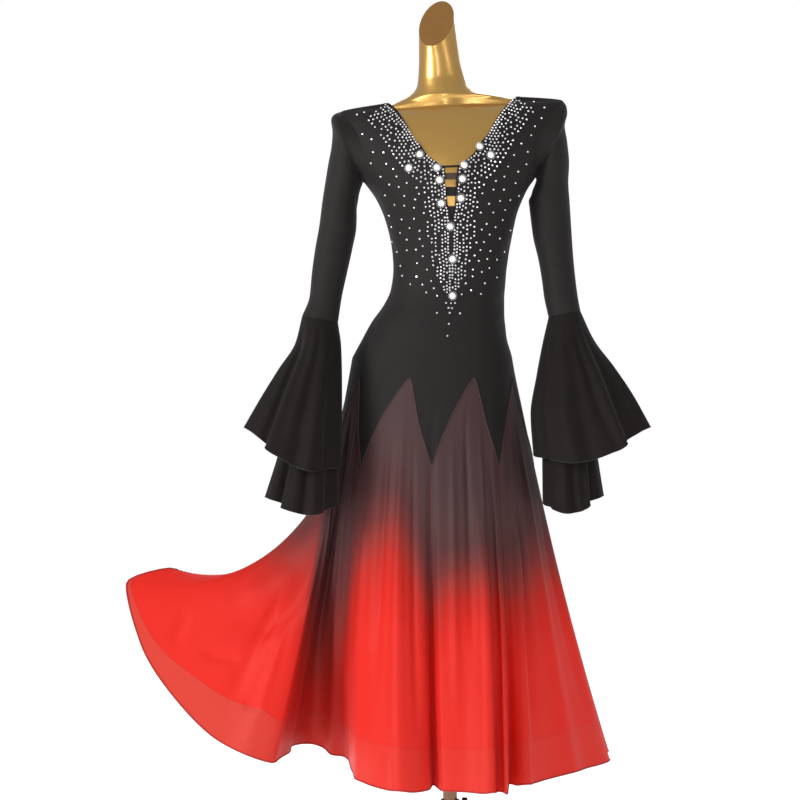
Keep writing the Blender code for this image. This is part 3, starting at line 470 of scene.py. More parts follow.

# Creases: the path in shares across and down the piece, half widths at its two ends
# and height, in metres; an open end runs off the edge of the cloth
Crease = namedtuple("Crease", "path start_width end_width height open_end", defaults=(False,))
SKIRT_CREASES = {
    2: (Crease(((0.34, 0.73), (0.52, 0.68), (0.67, 0.60), (0.84, 0.48), (0.90, 0.34), (0.93, 0.22)),
               0.024, 0.018, -0.0095),
        Crease(((0.40, 0.85), (0.60, 0.76)), 0.009, 0.009, -0.0045),
        Crease(((0.70, 0.86), (0.85, 0.85)), 0.008, 0.008, -0.0040),
        Crease(((0.24, 0.62), (0.45, 0.56), (0.62, 0.44)), 0.026, 0.022, 0.0045),
        Crease(((0.22, 0.80), (0.34, 0.92)), 0.008, 0.010, -0.0030)),
    4: (Crease(((0.10, 0.10), (0.08, 0.50), (0.05, 0.95)), 0.006, 0.010, -0.0050),
        Crease(((0.60, 0.30), (0.62, 0.70), (0.62, 1.0)), 0.010, 0.018, 0.0060, True)),
    5: (Crease(((0.62, 0.20), (0.66, 0.55), (0.67, 1.0)), 0.006, 0.009, 0.0060, True),
        Crease(((0.72, 0.20), (0.78, 0.60), (0.80, 1.0)), 0.008, 0.012, -0.0060, True)),
    6: (Crease(((0.20, 0.18), (0.16, 0.60), (0.14, 1.0)), 0.007, 0.012, 0.0060, True),
        Crease(((0.34, 0.25), (0.30, 0.60), (0.28, 0.95)), 0.008, 0.012, -0.0060)),
    1: (Crease(((0.35, 0.55), (0.55, 0.70), (0.80, 0.80)), 0.014, 0.018, -0.0070),),
    7: (Crease(((0.44, 0.20), (0.46, 0.60), (0.50, 1.0)), 0.008, 0.014, 0.0055, True),),
    8: (Crease(((0.60, 0.22), (0.58, 0.60), (0.55, 1.0)), 0.008, 0.014, -0.0055, True),),
}
BODICE_FRONT_CREASES = {
    "left": (Crease(((0.02, 0.42), (0.20, 0.47), (0.42, 0.50)), 0.010, 0.016, -0.0014),
             Crease(((0.03, 0.34), (0.18, 0.30), (0.34, 0.28)), 0.008, 0.014, -0.0012),
             Crease(((0.04, 0.60), (0.25, 0.62), (0.50, 0.61)), 0.008, 0.014, -0.0012),
             Crease(((0.04, 0.66), (0.22, 0.69), (0.46, 0.69)), 0.008, 0.014, -0.0010)),
    "right": (Crease(((0.98, 0.41), (0.80, 0.46), (0.60, 0.49)), 0.010, 0.016, -0.0014),
              Crease(((0.97, 0.33), (0.82, 0.29), (0.68, 0.27)), 0.008, 0.014, -0.0012),
              Crease(((0.96, 0.58), (0.72, 0.61), (0.52, 0.62)), 0.008, 0.014, -0.0012),
              Crease(((0.96, 0.65), (0.80, 0.66), (0.55, 0.70)), 0.008, 0.014, -0.0010)),
}
BODICE_BACK_CREASES = {
    "left": (Crease(((0.04, 0.58), (0.30, 0.60), (0.60, 0.59)), 0.008, 0.014, -0.0014),
             Crease(((0.05, 0.65), (0.30, 0.67), (0.62, 0.66)), 0.008, 0.014, -0.0012),
             Crease(((0.03, 0.36), (0.22, 0.33), (0.40, 0.32)), 0.008, 0.014, -0.0012)),
    "right": (Crease(((0.96, 0.59), (0.70, 0.61), (0.42, 0.60)), 0.008, 0.014, -0.0014),
              Crease(((0.95, 0.66), (0.72, 0.66), (0.40, 0.68)), 0.008, 0.014, -0.0012),
              Crease(((0.97, 0.35), (0.80, 0.33), (0.62, 0.31)), 0.008, 0.014, -0.0012)),
}
SLEEVE_CREASES = (
    Crease(((0.35, 0.18), (0.45, 0.28), (0.52, 0.42)), 0.008, 0.010, -0.0012),
    Crease(((0.15, 0.48), (0.30, 0.52), (0.45, 0.50)), 0.006, 0.009, -0.0012),
    Crease(((0.12, 0.58), (0.28, 0.60), (0.48, 0.64)), 0.006, 0.009, -0.0010),
    Crease(((0.60, 0.50), (0.75, 0.53), (0.90, 0.51)), 0.006, 0.009, -0.0012),
    Crease(((0.58, 0.70), (0.76, 0.72), (0.92, 0.76)), 0.006, 0.009, -0.0010),
)
FLOUNCE_CREASES = (
    Crease(((0.08, 0.02), (0.10, 0.50), (0.11, 1.0)), 0.004, 0.012, -0.0050, True),
    Crease(((0.22, 0.02), (0.21, 0.45), (0.20, 1.0)), 0.004, 0.014, 0.0045, True),
    Crease(((0.34, 0.05), (0.36, 0.60), (0.37, 1.0)), 0.004, 0.010, -0.0040, True),
    Crease(((0.63, 0.02), (0.62, 0.50), (0.62, 1.0)), 0.004, 0.012, 0.0045, True),
    Crease(((0.80, 0.03), (0.81, 0.55), (0.83, 1.0)), 0.004, 0.012, -0.0045, True),
)

# Where the small stones lie by level: how far the widening rows reach from the neck edge, and how
# far from the centre the scatter reaches
STONE_FIELD = table(
    "z dense reach",
    (1.0700, 0.002, 0.030),
    (1.0800, 0.009, 0.050),
    (1.1000, 0.020, 0.079),
    (1.1300, 0.032, 0.093),
    (1.1800, 0.038, 0.105),
    (1.2260, 0.041, 0.108),
    (1.2700, 0.046, 0.126),
    (1.3200, 0.050, 0.143),
    (1.3730, 0.048, 0.156),
    (1.4130, 0.048, 0.172),
)
STONE_EDGE = 0.0032
STONE_STEP = 0.0052
STONE_SPREAD = 0.75
STONE_ROW_SHARE = 0.88
STONE_JITTER = 0.10
STONE_CROWDED = 0.80
LARGE_STONE_CLEARANCE = 0.0093
SCATTER_TRIES = 7000
SCATTER_START = 0.0095
SCATTER_END = 0.0185
SCATTER_LEAST = 0.01
SCATTER_BEND = 0.6

# The left edge that the rows of small stones follow, from the shoulder to the last large stone
STONE_LINE = table(
    "x z",
    (-0.1110, 1.4240),
    (-0.1020, 1.4130),
    (-0.0779, 1.3806),
    (-0.0590, 1.3480),
    (-0.0398, 1.3204),
    (-0.0135, 1.2985),
    (-0.0112, 1.2930),
    (-0.0092, 1.2655),
    (-0.0060, 1.2301),
    (-0.0030, 1.2100),
    (-0.0015, 1.1500),
    (0.0008, 1.1300),
    (0.0010, 1.0720),
)
STONE_LINE_POINTS = 400
STONE_LINE_SOFTNESS = 41

# The last small stones, below the rows
LAST_STONES = table(
    "x z",
    (-0.0090, 1.0650),
    (-0.0004, 1.0645),
    (0.0066, 1.0650),
    (-0.0047, 1.0565),
    (0.0014, 1.0560),
    (-0.0246, 1.0477),
    (-0.0028, 1.0477),
    (0.0152, 1.0470),
    (-0.0042, 1.0287),
    (-0.0066, 1.0080),
)

# How far the root of the form's neck stands forward at the middle, by level
NECK_ROOT = table(
    "z forward",
    (1.3753, 0.0),
    (1.3965, 0.004),
    (1.4107, 0.011),
    (1.4178, 0.020),
    (1.4284, 0.013),
    (1.4318, 0.007),
    (1.4440, 0.004),
    (1.4665, 0.0),
)
NECK_ROOT_HALF = 0.052

# Stones: the cut of a large and a small one, and the ring of tiny stones round a large one
GemCut = namedtuple("GemCut", "radius height sides table_share turn")
LARGE_GEM = GemCut(0.0060, 0.0042, 16, 0.5, 0.0)
SMALL_GEM = GemCut(0.0018, 0.0016, 8, 0.55, 0.2)
GIRDLE_SHARE = 0.22
CROWN_RADIUS_SHARE = 0.82
CROWN_HEIGHT_SHARE = 0.62
STONE_LIFT = 0.0006
STONE_SIZE_SPREAD = 0.1
RING_STONES = 14
RING_RADIUS = 0.0074
RING_STONE_SHARE = 0.42

# Trims: cords at the edges, with their sections laid across UPWARD or, where they are steep, across
# ALONG_X, and the length and gap of each kind of stitch
CORD_SIDES = 6
STEEP = 0.9
ALONG_X = (1.0, 0.0, 0.0)
UPWARD = (0.0, 0.0, 1.0)
PIPING_RADIUS = 0.00075
PIPING_LIFT = 0.0006
HEM_EDGE_RADIUS = 0.0013
FLOUNCE_EDGE_RADIUS = 0.0006
STITCH_SIDES = 4
STITCH_RADIUS = 0.00022
STITCH_LIFT = 0.0004
HEM_STITCH = (0.0040, 0.0030)
SEAM_STITCH = (0.0034, 0.0016)
SEAM_STITCH_LIFT = 0.0002
EDGE_STITCH = (0.0026, 0.0012)
EDGE_STITCH_COLUMNS = 3
EDGE_STITCH_ROWS = BODICE_ROWS - 4
CUFF_STITCH = 0.006

# The dye's colours from the hip to the hem, the tint that paints the sheer hem band lighter for the light
# through it, and the tint of painted shade in the recess
DYE_UNEVEN = 0.16
DYE_START = 0.37
DYE_SPAN = 0.33
DYE_STOPS = [
    (0.00, (0.066, 0.034, 0.035)),
    (0.20, (0.078, 0.036, 0.037)),
    (0.36, (0.090, 0.030, 0.031)),
    (0.48, (0.165, 0.028, 0.026)),
    (0.58, (0.300, 0.026, 0.020)),
    (0.70, (0.500, 0.017, 0.010)),
    (0.85, (0.630, 0.016, 0.009)),
    (1.00, (0.690, 0.021, 0.013)),
]
HEM_BAND_PAINTED_LIGHT_TINT = (0.86, 2.4, 2.6)
RECESS_PAINTED_SHADE_SHARE = 0.50
RECESS_PAINTED_SHADE_TINT = (0.50, 0.55, 0.60)

# Fabrics: the step of their threads and how they wander, the clouding of their tone, their sheen,
# their relief and the share of light that comes through
Fabric = namedtuple("Fabric", "name colour roughness thread_across thread_down warp cloud_scale "
                    "cloud_detail sheen sheen_roughness specular relief relief_depth through")
JERSEY = Fabric("black_jersey", (0.010, 0.008, 0.0085), 0.66, 0.0009, 0.0011, 1.2, 14.0,
                3.0, 0.05, 0.45, 0.18, 0.35, 0.00012, 0.0)
JERSEY_DARK = (0.0080, 0.0056, 0.0057)
JERSEY_LIGHT = (0.0130, 0.0095, 0.0098)
JERSEY_FLECK = (0.020, 0.017, 0.0175)
JERSEY_FLECK_SHARE = 0.35
JERSEY_FLECK_SCALE = 900.0
GEORGETTE = Fabric("black_georgette", (0.0100, 0.0070, 0.0070), 0.6, 0.0011, 0.0013, 7.0, 22.0,
                   2.0, 0.08, 0.4, 0.12, 0.5, 0.00018, 0.12)
SHEER = GEORGETTE._replace(name="sheer_strap", colour=(0.070, 0.050, 0.040))
GEORGETTE_DARK_SHARE = 0.75
GEORGETTE_LIGHT_SHARE = 1.35
GEORGETTE_THROUGH = (0.050, 0.030, 0.028)
SATIN = Fabric("ombre_satin", (0.6, 0.03, 0.02), 0.48, 0.0010, 0.0010, 3.0, 9.0,
               3.0, 0.05, 0.35, 0.18, 0.3, 0.00015, 0.20)
WEAVE_DRIFT_SCALE = 60.0
FINE_DETAIL = 1.0

# Threads and hard surfaces: how their tone clouds and by what share, their fine wear, a clear coat
# and how the clouding is drawn out along the tubes
EVEN = (1.0, 1.0, 1.0)
ALONG_Z = (1.0, 1.0, 0.04)
PLAIN = table(
    "key name colour roughness metallic scale contrast wear coat coat_roughness stretch",
    ("piping", "red_brown_piping", (0.055, 0.024, 0.022), 0.55, 0.0, 900.0, 0.3, 0.3),
    ("hem_edge", "dark_red_edge", (0.36, 0.016, 0.012), 0.55, 0.0, 700.0, 0.25, 0.3),
    ("red_thread", "red_thread", (0.42, 0.020, 0.014), 0.5, 0.0, 1500.0, 0.3, 0.2),
    ("black_thread", "black_thread", (0.010, 0.009, 0.009), 0.5, 0.0, 1500.0, 0.3, 0.2),
    ("gold", "form_gold_gloss", (0.62, 0.36, 0.095), 0.30, 0.85, 8.0, 0.04, 0.0, 0.5, 0.08),
    # The neck cap's face: a darker copy of the gold, painted for the dark that the cap reflects; painted
    # shade
    ("bronze", "matte_bronze", (0.30, 0.145, 0.035), 0.50, 0.5, 40.0, 0.08, 0.03),
    ("tube", "brown_steel_tube", (0.20, 0.115, 0.075), 0.30, 1.0, 60.0, 0.15, 0.05, 0.0, 0.03, ALONG_Z),
    ("steel", "brushed_steel", (0.56, 0.55, 0.54), 0.26, 1.0, 60.0, 0.12, 0.10, 0.0, 0.03, ALONG_Z),
    ("plastic", "black_plastic", (0.018, 0.018, 0.019), 0.38, 0.0, 800.0, 0.2, 0.15),
    ("crystal", "small_crystal", (0.84, 0.84, 0.86), 0.14, 0.45, 260.0, 0.15, 0.0, 0.7, 0.03),
    ("white_crystal", "white_crystal", (0.92, 0.92, 0.94), 0.18, 0.20, 260.0, 0.15, 0.0, 0.7, 0.03),
    ("floor", "pale_floor", (0.90, 0.90, 0.90), 0.7, 0.0, 3.0, 0.01, 0.0),
    defaults=(0.0, 0.03, EVEN),
)
PLAIN_DETAIL = 4.0
WEAR_DEPTH = 0.0003
ROUGH_LEAST = 0.75
ROUGH_SPAN = 0.5

# The material of each CAD node that stays
KEPT_NODES = {
    "stand_base": "steel",
    "stand_lower_tube": "tube",
    "stand_upper_tube": "tube",
    "clamp_collar": "plastic",
    "clamp_screw": "plastic",
}

# Studio
STAGE_SIZE = 12.0
WHITE = (1.0, 1.0, 1.0, 1.0)
WORLD_STRENGTH = 0.45
FLOOR_GLOW = 0.62
LIGHTS = table(
    "name place target width height power",
    ("key_left", (-2.9, -1.9, 1.9), (-0.1, 0.0, 0.8), 1.0, 2.0, 95.0),
    ("fill_right", (2.4, -2.6, 1.5), (0.0, 0.0, 0.8), 0.6, 2.2, 22.0),
    ("back", (0.5, 2.8, 2.8), (0.0, 0.0, 0.8), 2.0, 1.4, 25.0),
    ("front_strip", (-0.9, -3.3, 1.9), (0.0, 0.0, 1.2), 0.30, 1.9, 12.0),
)


def monotone_curve(places, values):
    """Return a smooth function of an array through the points, which doesn't overshoot them."""
    places = np.asarray(places, float)
    values = np.asarray(values, float)
    more = (1,) * (values.ndim - 1)
    widths = np.diff(places)
    steps = np.diff(values, axis=0) / widths.reshape(-1, *more)
    slopes = np.concatenate([steps[:1], np.zeros_like(steps[1:]), steps[-1:]])
    same_way = steps[:-1] * steps[1:] > 0
    total = np.where(same_way, steps[:-1] + steps[1:], 1.0)
    slopes[1:-1] = np.where(same_way, 2 * steps[:-1] * steps[1:] / total, 0.0)

    def curve(place):
        place = np.clip(place, places[0], places[-1])
        i = np.clip(np.searchsorted(places, place, side="right") - 1, 0, len(widths) - 1)
        width = widths[i].reshape(i.shape + more)
        t = ((place - places[i]) / widths[i]).reshape(i.shape + more)
        start = (1 + 2 * t) * (1 - t) ** 2 * values[i] + t * (1 - t) ** 2 * width * slopes[i]
        end = t * t * (3 - 2 * t) * values[i + 1] + t * t * (t - 1) * width * slopes[i + 1]
        return start + end

    return curve


def table_curves(rows):
    """Return one smooth function of the first column for each other column of a table."""
    places = [row[0] for row in rows]
    fields = rows[0]._fields[1:]
    return {field: monotone_curve(places, [getattr(row, field) for row in rows]) for field in fields}


def round_curves(rows):
    """Return the curves of a table that runs round the skirt, smooth where its ends meet."""
    before = [row._replace(u=row.u - PANELS) for row in rows[-3:]]
    after = [row._replace(u=row.u + PANELS) for row in rows[:3]]
    return table_curves(before + rows + after)


TORSO_CURVES = table_curves(TORSO)
HEM_CURVES = round_curves(HEM)
DRAPE_CURVES = round_curves(DRAPE)
DYE_AND_PAINTED_LIGHT_CURVES = round_curves(DYE_AND_PAINTED_LIGHT)
ROOT_CURVES = table_curves(NECK_ROOT)


def ease(share):
    """Go smoothly from 0 to 1."""
    t = np.clip(share, 0.0, 1.0)
    return t * t * (3 - 2 * t)


def unit(vectors):
    """Scale vectors to length 1."""
    return vectors / np.maximum(np.linalg.norm(vectors, axis=-1, keepdims=True), LEAST_LENGTH)


def reach_along(points):
    """Return how far each point lies along its line, or down its column of a grid."""
    steps = np.linalg.norm(np.diff(points, axis=0), axis=-1)
    return np.concatenate([np.zeros_like(steps[:1]), np.cumsum(steps, axis=0)])


def reach_across(grid):
    """Return how far each point of a grid lies along its row."""
    return reach_along(grid.swapaxes(0, 1)).T


def read_at(places, reach, values):
    """Return the values of a line at places along it."""
    return np.stack([np.interp(places, reach, column) for column in values.T], axis=-1)


def round_the_skirt(u):
    """Return the same place as u, within half a turn of the centre front."""
    return (u + PANELS / 2) % PANELS - PANELS / 2


def torso(angle, z, inset=0.0):
    """Return points of the torso, with the angle from the centre front to the viewer's right."""
    angle, z = np.broadcast_arrays(np.asarray(angle, float), np.asarray(z, float))
    turned = np.radians(angle + TORSO_CURVES["turn"](z))
    ahead = np.cos(turned)
    depth = np.where(ahead > 0, TORSO_CURVES["front"](z), TORSO_CURVES["back"](z))
    x = TORSO_CURVES["centre"](z) + (TORSO_CURVES["half"](z) - inset) * np.sin(turned)
    tilt = SHOULDER_TILT * ease((z - TILT_STARTS_Z) / (TILT_FULL_Z - TILT_STARTS_Z))
    return np.stack([x, -(depth - inset) * ahead, z + tilt * x], axis=-1)


def torso_outward(angle, z):
    """Return the outward direction of the torso's surface."""
    across = torso(angle + SLOPE_ANGLE, z) - torso(angle - SLOPE_ANGLE, z)
    low = np.maximum(z - SLOPE_HEIGHT, TORSO[0].z)
    high = np.minimum(z + SLOPE_HEIGHT, TORSO[-1].z)
    return unit(np.cross(across, torso(angle, high) - torso(angle, low)))


def angle_at(x, z):
    """Return the angle of the point of the torso's front at x and z."""
    side = (x - TORSO_CURVES["centre"](z)) / TORSO_CURVES["half"](z)
    return np.degrees(np.arcsin(np.clip(side, -1.0, 1.0))) - TORSO_CURVES["turn"](z)


def skirt(u, v):
    """Return points of the skirt, u panels round from the centre front, v from hip to hem."""
    u, v = np.broadcast_arrays(np.asarray(u, float), np.asarray(v, float))
    place = round_the_skirt(u)
    hip = torso(u * 360.0 / PANELS - HIP_TURN * ease(v / TURN_DONE_V), HIP_Z)
    middle = np.stack([DRAPE_CURVES[axis](place) for axis in "xyz"], axis=-1)
    hem = np.stack([HEM_CURVES[axis](place) for axis in "xyz"], axis=-1)
    v = v[..., None]
    return hip * (1 - v) ** 2 + middle * (2 * v * (1 - v)) + hem * v * v


def skirt_cloth(u, v):
    """Return points of the skirt with its listed folds."""
    points = skirt(u, v)
    across = skirt(u + SLOPE_PANELS, v) - skirt(u - SLOPE_PANELS, v)
    down = skirt(u, v + SLOPE_PANELS) - skirt(u, v - SLOPE_PANELS)
    outward = unit(np.cross(down, across))
    rise = np.zeros(points.shape[:-1])
    for fold in FOLDS:
        along = (v - fold.start_v) / (fold.end_v - fold.start_v)
        centre = fold.start_u + (fold.end_u - fold.start_u) * along
        width = fold.width * (FOLD_START_SHARE + (1 - FOLD_START_SHARE) * np.clip(along, 0.0, 1.0))
        fade = ease(along / FOLD_FADE_IN)
        if fold.end_v < 1.0:
            fade = fade * ease((1.0 - along) / FOLD_FADE_OUT)
        rise += fold.height * fade * np.exp(-(round_the_skirt(u - centre) / width) ** 2)
    seam = np.abs(u - np.round(u))
    return points + outward * (rise * ease(seam / SEAM_KEPT))[..., None]


def godet_edge(u):
    """Return v along the zigzag where the black bodice meets the godets."""
    from_seam = np.abs(2 * (np.asarray(u) % 1.0) - 1)
    return PEAK_V + (TIP_V - PEAK_V) * from_seam ** PEAK_CURVE


def grid_outward(points, closed=False):
    """Return the outward directions of a grid whose rows run down and columns to the viewer's right."""
    down = np.gradient(points, axis=0)
    if closed:
        across = np.roll(points, -1, axis=1) - np.roll(points, 1, axis=1)
    else:
        across = np.gradient(points, axis=1)
    return unit(np.cross(down, across))


def lofted(rings, rows):
    """Return a smooth grid of the given number of rows through a list of rings."""
    rings = np.asarray(rings, float)
    reach = reach_along(rings).mean(axis=1)
    return monotone_curve(reach, rings)(np.linspace(0.0, reach[-1], rows))


def spot(grid, across, down, closed=False):
    """Return points of a grid at shares across and down it."""
    wide = np.concatenate([grid, grid[:, :1]], axis=1) if closed else grid
    rows, columns = wide.shape[:2]
    x = np.clip(across, 0.0, 1.0) * (columns - 1)
    y = np.clip(down, 0.0, 1.0) * (rows - 1)
    i = np.minimum(x.astype(int), columns - 2)
    j = np.minimum(y.astype(int), rows - 2)
    fx = (x - i)[:, None]
    fy = (y - j)[:, None]
    top = wide[j, i] * (1 - fx) + wide[j, i + 1] * fx
    low = wide[j + 1, i] * (1 - fx) + wide[j + 1, i + 1] * fx
    return top * (1 - fy) + low * fy


def creased(points, creases, closed=False, edges_kept=()):
    """Raise or sink a grid along the given creases, and leave the named edges where they are."""
    rows, columns = points.shape[:2]
    flat = points.reshape(-1, 3)
    total = np.zeros(len(flat))
    share = np.linspace(0.0, 1.0, CREASE_POINTS)
    for crease in creases:
        route = monotone_curve(np.linspace(0.0, 1.0, len(crease.path)), crease.path)(share)
        line = spot(points, route[:, 0], route[:, 1], closed)
        square = ((flat[:, None] - line[None]) ** 2).sum(axis=-1)
        along = share[square.argmin(axis=1)]
        width = crease.start_width + (crease.end_width - crease.start_width) * along
        fade = ease(along / CREASE_FADE)
        if not crease.open_end:
            fade = fade * ease((1.0 - along) / CREASE_FADE)
        total += crease.height * fade * np.exp(-square.min(axis=1) / width ** 2)
    total = total.reshape(rows, columns)
    across = np.linspace(0.0, 1.0, columns)[None]
    down = np.linspace(0.0, 1.0, rows)[:, None]
    kept = {"left": across, "right": 1 - across, "top": down, "bottom": 1 - down}
    for edge in edges_kept:
        total = total * ease(kept[edge] / EDGE_KEPT_SHARE)
    return points + grid_outward(points, closed) * total[..., None]


def linked_in(item):
    """Put an object into the scene."""
    bpy.context.scene.collection.objects.link(item)
    return item


def finished(name, mesh, material, smooth=True):
    """Put a mesh into the scene as a piece that rides on the figure."""
    mesh.validate()
    if smooth:
        mesh.shade_smooth()
    mesh.materials.append(material)
    item = linked_in(bpy.data.objects.new(name, mesh))
    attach(item, "figure")
    return item


def quad_mesh(name, points, quads):
    """Make a mesh from arrays of points and of quads."""
    mesh = bpy.data.meshes.new(name)
    mesh.vertices.add(len(points))
    mesh.vertices.foreach_set("co", np.asarray(points, np.float32).ravel())
    mesh.loops.add(quads.size)
    mesh.loops.foreach_set("vertex_index", np.asarray(quads, np.int32).ravel())
    mesh.polygons.add(len(quads))
    mesh.polygons.foreach_set("loop_start", np.arange(0, quads.size, quads.shape[1], dtype=np.int32))
    mesh.update(calc_edges=True)
    return mesh


def grid_quads(rows, columns, closed=False):
    """Return the quads of a grid, outward where rows run down and columns to the viewer's right."""
    places = np.arange(rows * columns).reshape(rows, columns)
    after = np.roll(places, -1, axis=1)
    if not closed:
        places, after = places[:, :-1], after[:, :-1]
    return np.stack([places[:-1], places[1:], after[1:], after[:-1]], axis=-1).reshape(-1, 4)


def lay_weave(mesh, across, down):
    """Store where each corner of the mesh lies in the weave, in metres across and down the cloth."""
    layer = mesh.uv_layers.new(name="weave")
    layer.data.foreach_set("uv", np.stack([across, down], axis=-1).astype(np.float32).ravel())


def cloth(name, points, across, down, material, closed=False, facts=None):
    """Make a sheet from a grid, with a number at each of its points for every fact."""
    rows, columns = points.shape[:2]
    quads = grid_quads(rows, columns, closed)
    mesh = quad_mesh(name, points.reshape(-1, 3), quads)
    corners = quads.ravel()
    where = across.ravel()[corners]
    if closed:
        width = across[:, -1:] + (across[:, -1:] - across[:, -2:-1])
        column = quads % columns
        wraps = (column == 0) & (column == columns - 1).any(axis=1)[:, None]
        where = np.where(wraps.ravel(), np.broadcast_to(width, across.shape).ravel()[corners], where)
    lay_weave(mesh, where, down.ravel()[corners])
    for fact, values in (facts or {}).items():
        layer = mesh.attributes.new(fact, "FLOAT", "POINT")
        layer.data.foreach_set("value", np.asarray(values, np.float32).ravel())
    return finished(name, mesh, material)


def cords(name, paths, radius, material, sides=CORD_SIDES):
    """Make one mesh of thin round cords along polylines, such as piping or a rolled hem."""
    turns = np.arange(sides) * 2 * math.pi / sides
    points = []
    quads = []
    start = 0
    for path in paths:
        tangent = unit(np.gradient(path, axis=0))
        side = unit(np.cross(tangent, np.where(np.abs(tangent[:, 2:3]) > STEEP, ALONG_X, UPWARD)))
        up = np.cross(side, tangent)
        ring = side[:, None] * np.cos(turns)[None, :, None] + up[:, None] * np.sin(turns)[None, :, None]
        points.append((path[:, None] + ring * radius).reshape(-1, 3))
        quads.append(grid_quads(len(path), sides, closed=True)[:, ::-1] + start)
        start += len(path) * sides
    return finished(name, quad_mesh(name, np.concatenate(points), np.concatenate(quads)), material)


def stitches(name, seams, material, size):
    """Make one mesh of running stitches; each seam is a path and the outward directions on it."""
    length, gap = size
    share = length / (length + gap)
    ends = []
    for path, outward in seams:
        reach = reach_along(path)
        count = max(int(reach[-1] / (length + gap)), 2)
        places = np.linspace(0.0, reach[-1], count + 1)
        whole = read_at(places, reach, path)
        away = unit(read_at(places, reach, outward))
        for a, b, n in zip(whole[:-1], whole[1:], away[:-1]):
            middle = a + (b - a) * share / 2 + n * (STITCH_LIFT + STITCH_RADIUS)
            ends.append(np.stack([a + n * STITCH_LIFT, middle, a + (b - a) * share + n * STITCH_LIFT]))
    cords(name, ends, STITCH_RADIUS, material, STITCH_SIDES)


def bodice_grid(front):
    """Return a bodice panel's two halves as grids that run from the neck down to the fingers."""
    neck = FRONT_NECK if front else BACK_NECK
    middle = 0.0 if front else 180.0
    below = [(z, 90.0, z) for z in LEVELS]
    above = [(row.arm_z, row.opening_angle, row.front_neck_z if front else row.back_neck_z) for row in UPPER]
    levels = np.array(below + above)
    heights = (levels[:, 0] + levels[:, 2]) / 2
    reach = np.concatenate([[0.0], np.cumsum(np.abs(np.diff(heights)) + ROW_APART)])
    rows = monotone_curve(reach, levels)(np.linspace(reach[-1], 0.0, BODICE_ROWS))
    arm_z, arm_angle, neck_z = rows[:, 0:1], rows[:, 1:2], rows[:, 2:3]
    opening = table_curves(neck)["half"](neck_z) / TORSO_CURVES["half"](neck_z)
    neck_angle = np.where(neck_z > neck[0].z, np.degrees(np.arcsin(np.minimum(opening, 1.0))), 0.0)
    share = np.linspace(0.0, 1.0, BODICE_COLUMNS + 1)[None]
    down = np.linspace(0.0, 1.0, FINGER_ROWS + 1)[1:, None]
    grids = []
    for side in (-1, 1):
        z = arm_z + (neck_z - arm_z) * share
        upper = torso(middle + side * (arm_angle + (neck_angle - arm_angle) * share), z)
        place = middle * PANELS / 360.0 + side * PANELS / 4 * (1 - share)
        fingers = skirt_cloth(place + 0 * down, godet_edge(place) * down)
        grid = np.concatenate([upper, fingers])
        grids.append(grid if side < 0 else grid[:, ::-1])
    return grids


def bodice_panel(front, material):
    """Build the front or the back of the bodice as one sheet, and return its two halves."""
    node = "bodice_front" if front else "bodice_back"
    creases = BODICE_FRONT_CREASES if front else BODICE_BACK_CREASES
    left, right = (creased(grid, creases[half], edges_kept=ALL_EDGES)
                   for grid, half in zip(bodice_grid(front), ("left", "right")))
    rows, columns = left.shape[:2]
    quads = np.concatenate([grid_quads(rows, columns), grid_quads(rows, columns) + rows * columns])
    points = np.concatenate([left.reshape(-1, 3), right.reshape(-1, 3)])
    meeting = np.flatnonzero(np.linalg.norm(left[:, -1] - right[:, 0], axis=-1) < MEETING)
    joins = np.arange(len(points))
    joins[rows * columns + meeting * columns] = (meeting + 1) * columns - 1
    mesh = quad_mesh(node + "_cloth", points, joins[quads])
    across = np.concatenate([reach_across(left).ravel(), (reach_across(right) + HALF_WEAVE_START).ravel()])
    down = np.concatenate([reach_along(left).ravel(), reach_along(right).ravel()])
    lay_weave(mesh, across[quads.ravel()], down[quads.ravel()])
    item = finished(node + "_cloth", mesh, material)
    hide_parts(node)
    width = reach_across(left[:BODICE_ROWS]).max() + reach_across(right[:BODICE_ROWS]).max()
    return left, right


def skirt_panel(number, material):
    """Build one godet, with at each point how deep its dye is, how far it is from the hem, how much painted
    shade darkens it in the recess and how strongly its hem band is painted lighter.
    """
    first = number - 1 - PANELS // 2
    u = np.linspace(first, first + 1, PANEL_COLUMNS + 1)
    levels = np.linspace(0.0, 1.0, MEASURED_ROWS)
    reach = reach_along(skirt_cloth(*np.meshgrid(u, levels)))
    v = np.linspace(0.0, 1.0, PANEL_ROWS + 1)[:, None]
    v = godet_edge(u)[None] + (1 - godet_edge(u)[None]) * v
    points = skirt_cloth(np.broadcast_to(u[None], v.shape), v)
    points = creased(points, SKIRT_CREASES.get(number, ()), edges_kept=("left", "right", "top"))
    down = np.stack([np.interp(v[:, k], levels, reach[:, k]) for k in range(len(u))], axis=1)
    # The dye's start and the shadow fact darken the recess with painted shade; the sheer fact paints the hem
    # band lighter for light through it
    dye = {name: curve(round_the_skirt(u))[None] for name, curve in DYE_AND_PAINTED_LIGHT_CURVES.items()}
    facts = {"dye": (down - dye["start"]) / (dye["full"] - dye["start"]),
             "hem": (reach[-1][None] - down) / (HEM_BAND * dye["band"]),
             "shadow": dye["shadow"] + 0 * down,
             "sheer": dye["sheer"] + 0 * down}
    across = reach_across(points)
    item = cloth(f"skirt_godet_{number}", points, across + first * PANEL_WEAVE_START, down, material,
                 facts=facts)
    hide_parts(f"skirt_panel_{number}")
    return points


def armhole(side, turns):
    """Return the ring round an armhole, from its top round the front as seen along the arm."""
    opening = monotone_curve([row.arm_z for row in UPPER], [row.opening_angle for row in UPPER])
    low, high = UPPER[0].arm_z, UPPER[-1].arm_z
    z = low + (high - low) * (1 + np.cos(turns)) / 2
    angle = np.where(turns <= math.pi, side * opening(z), 180.0 - side * opening(z))
    return torso(angle, z)


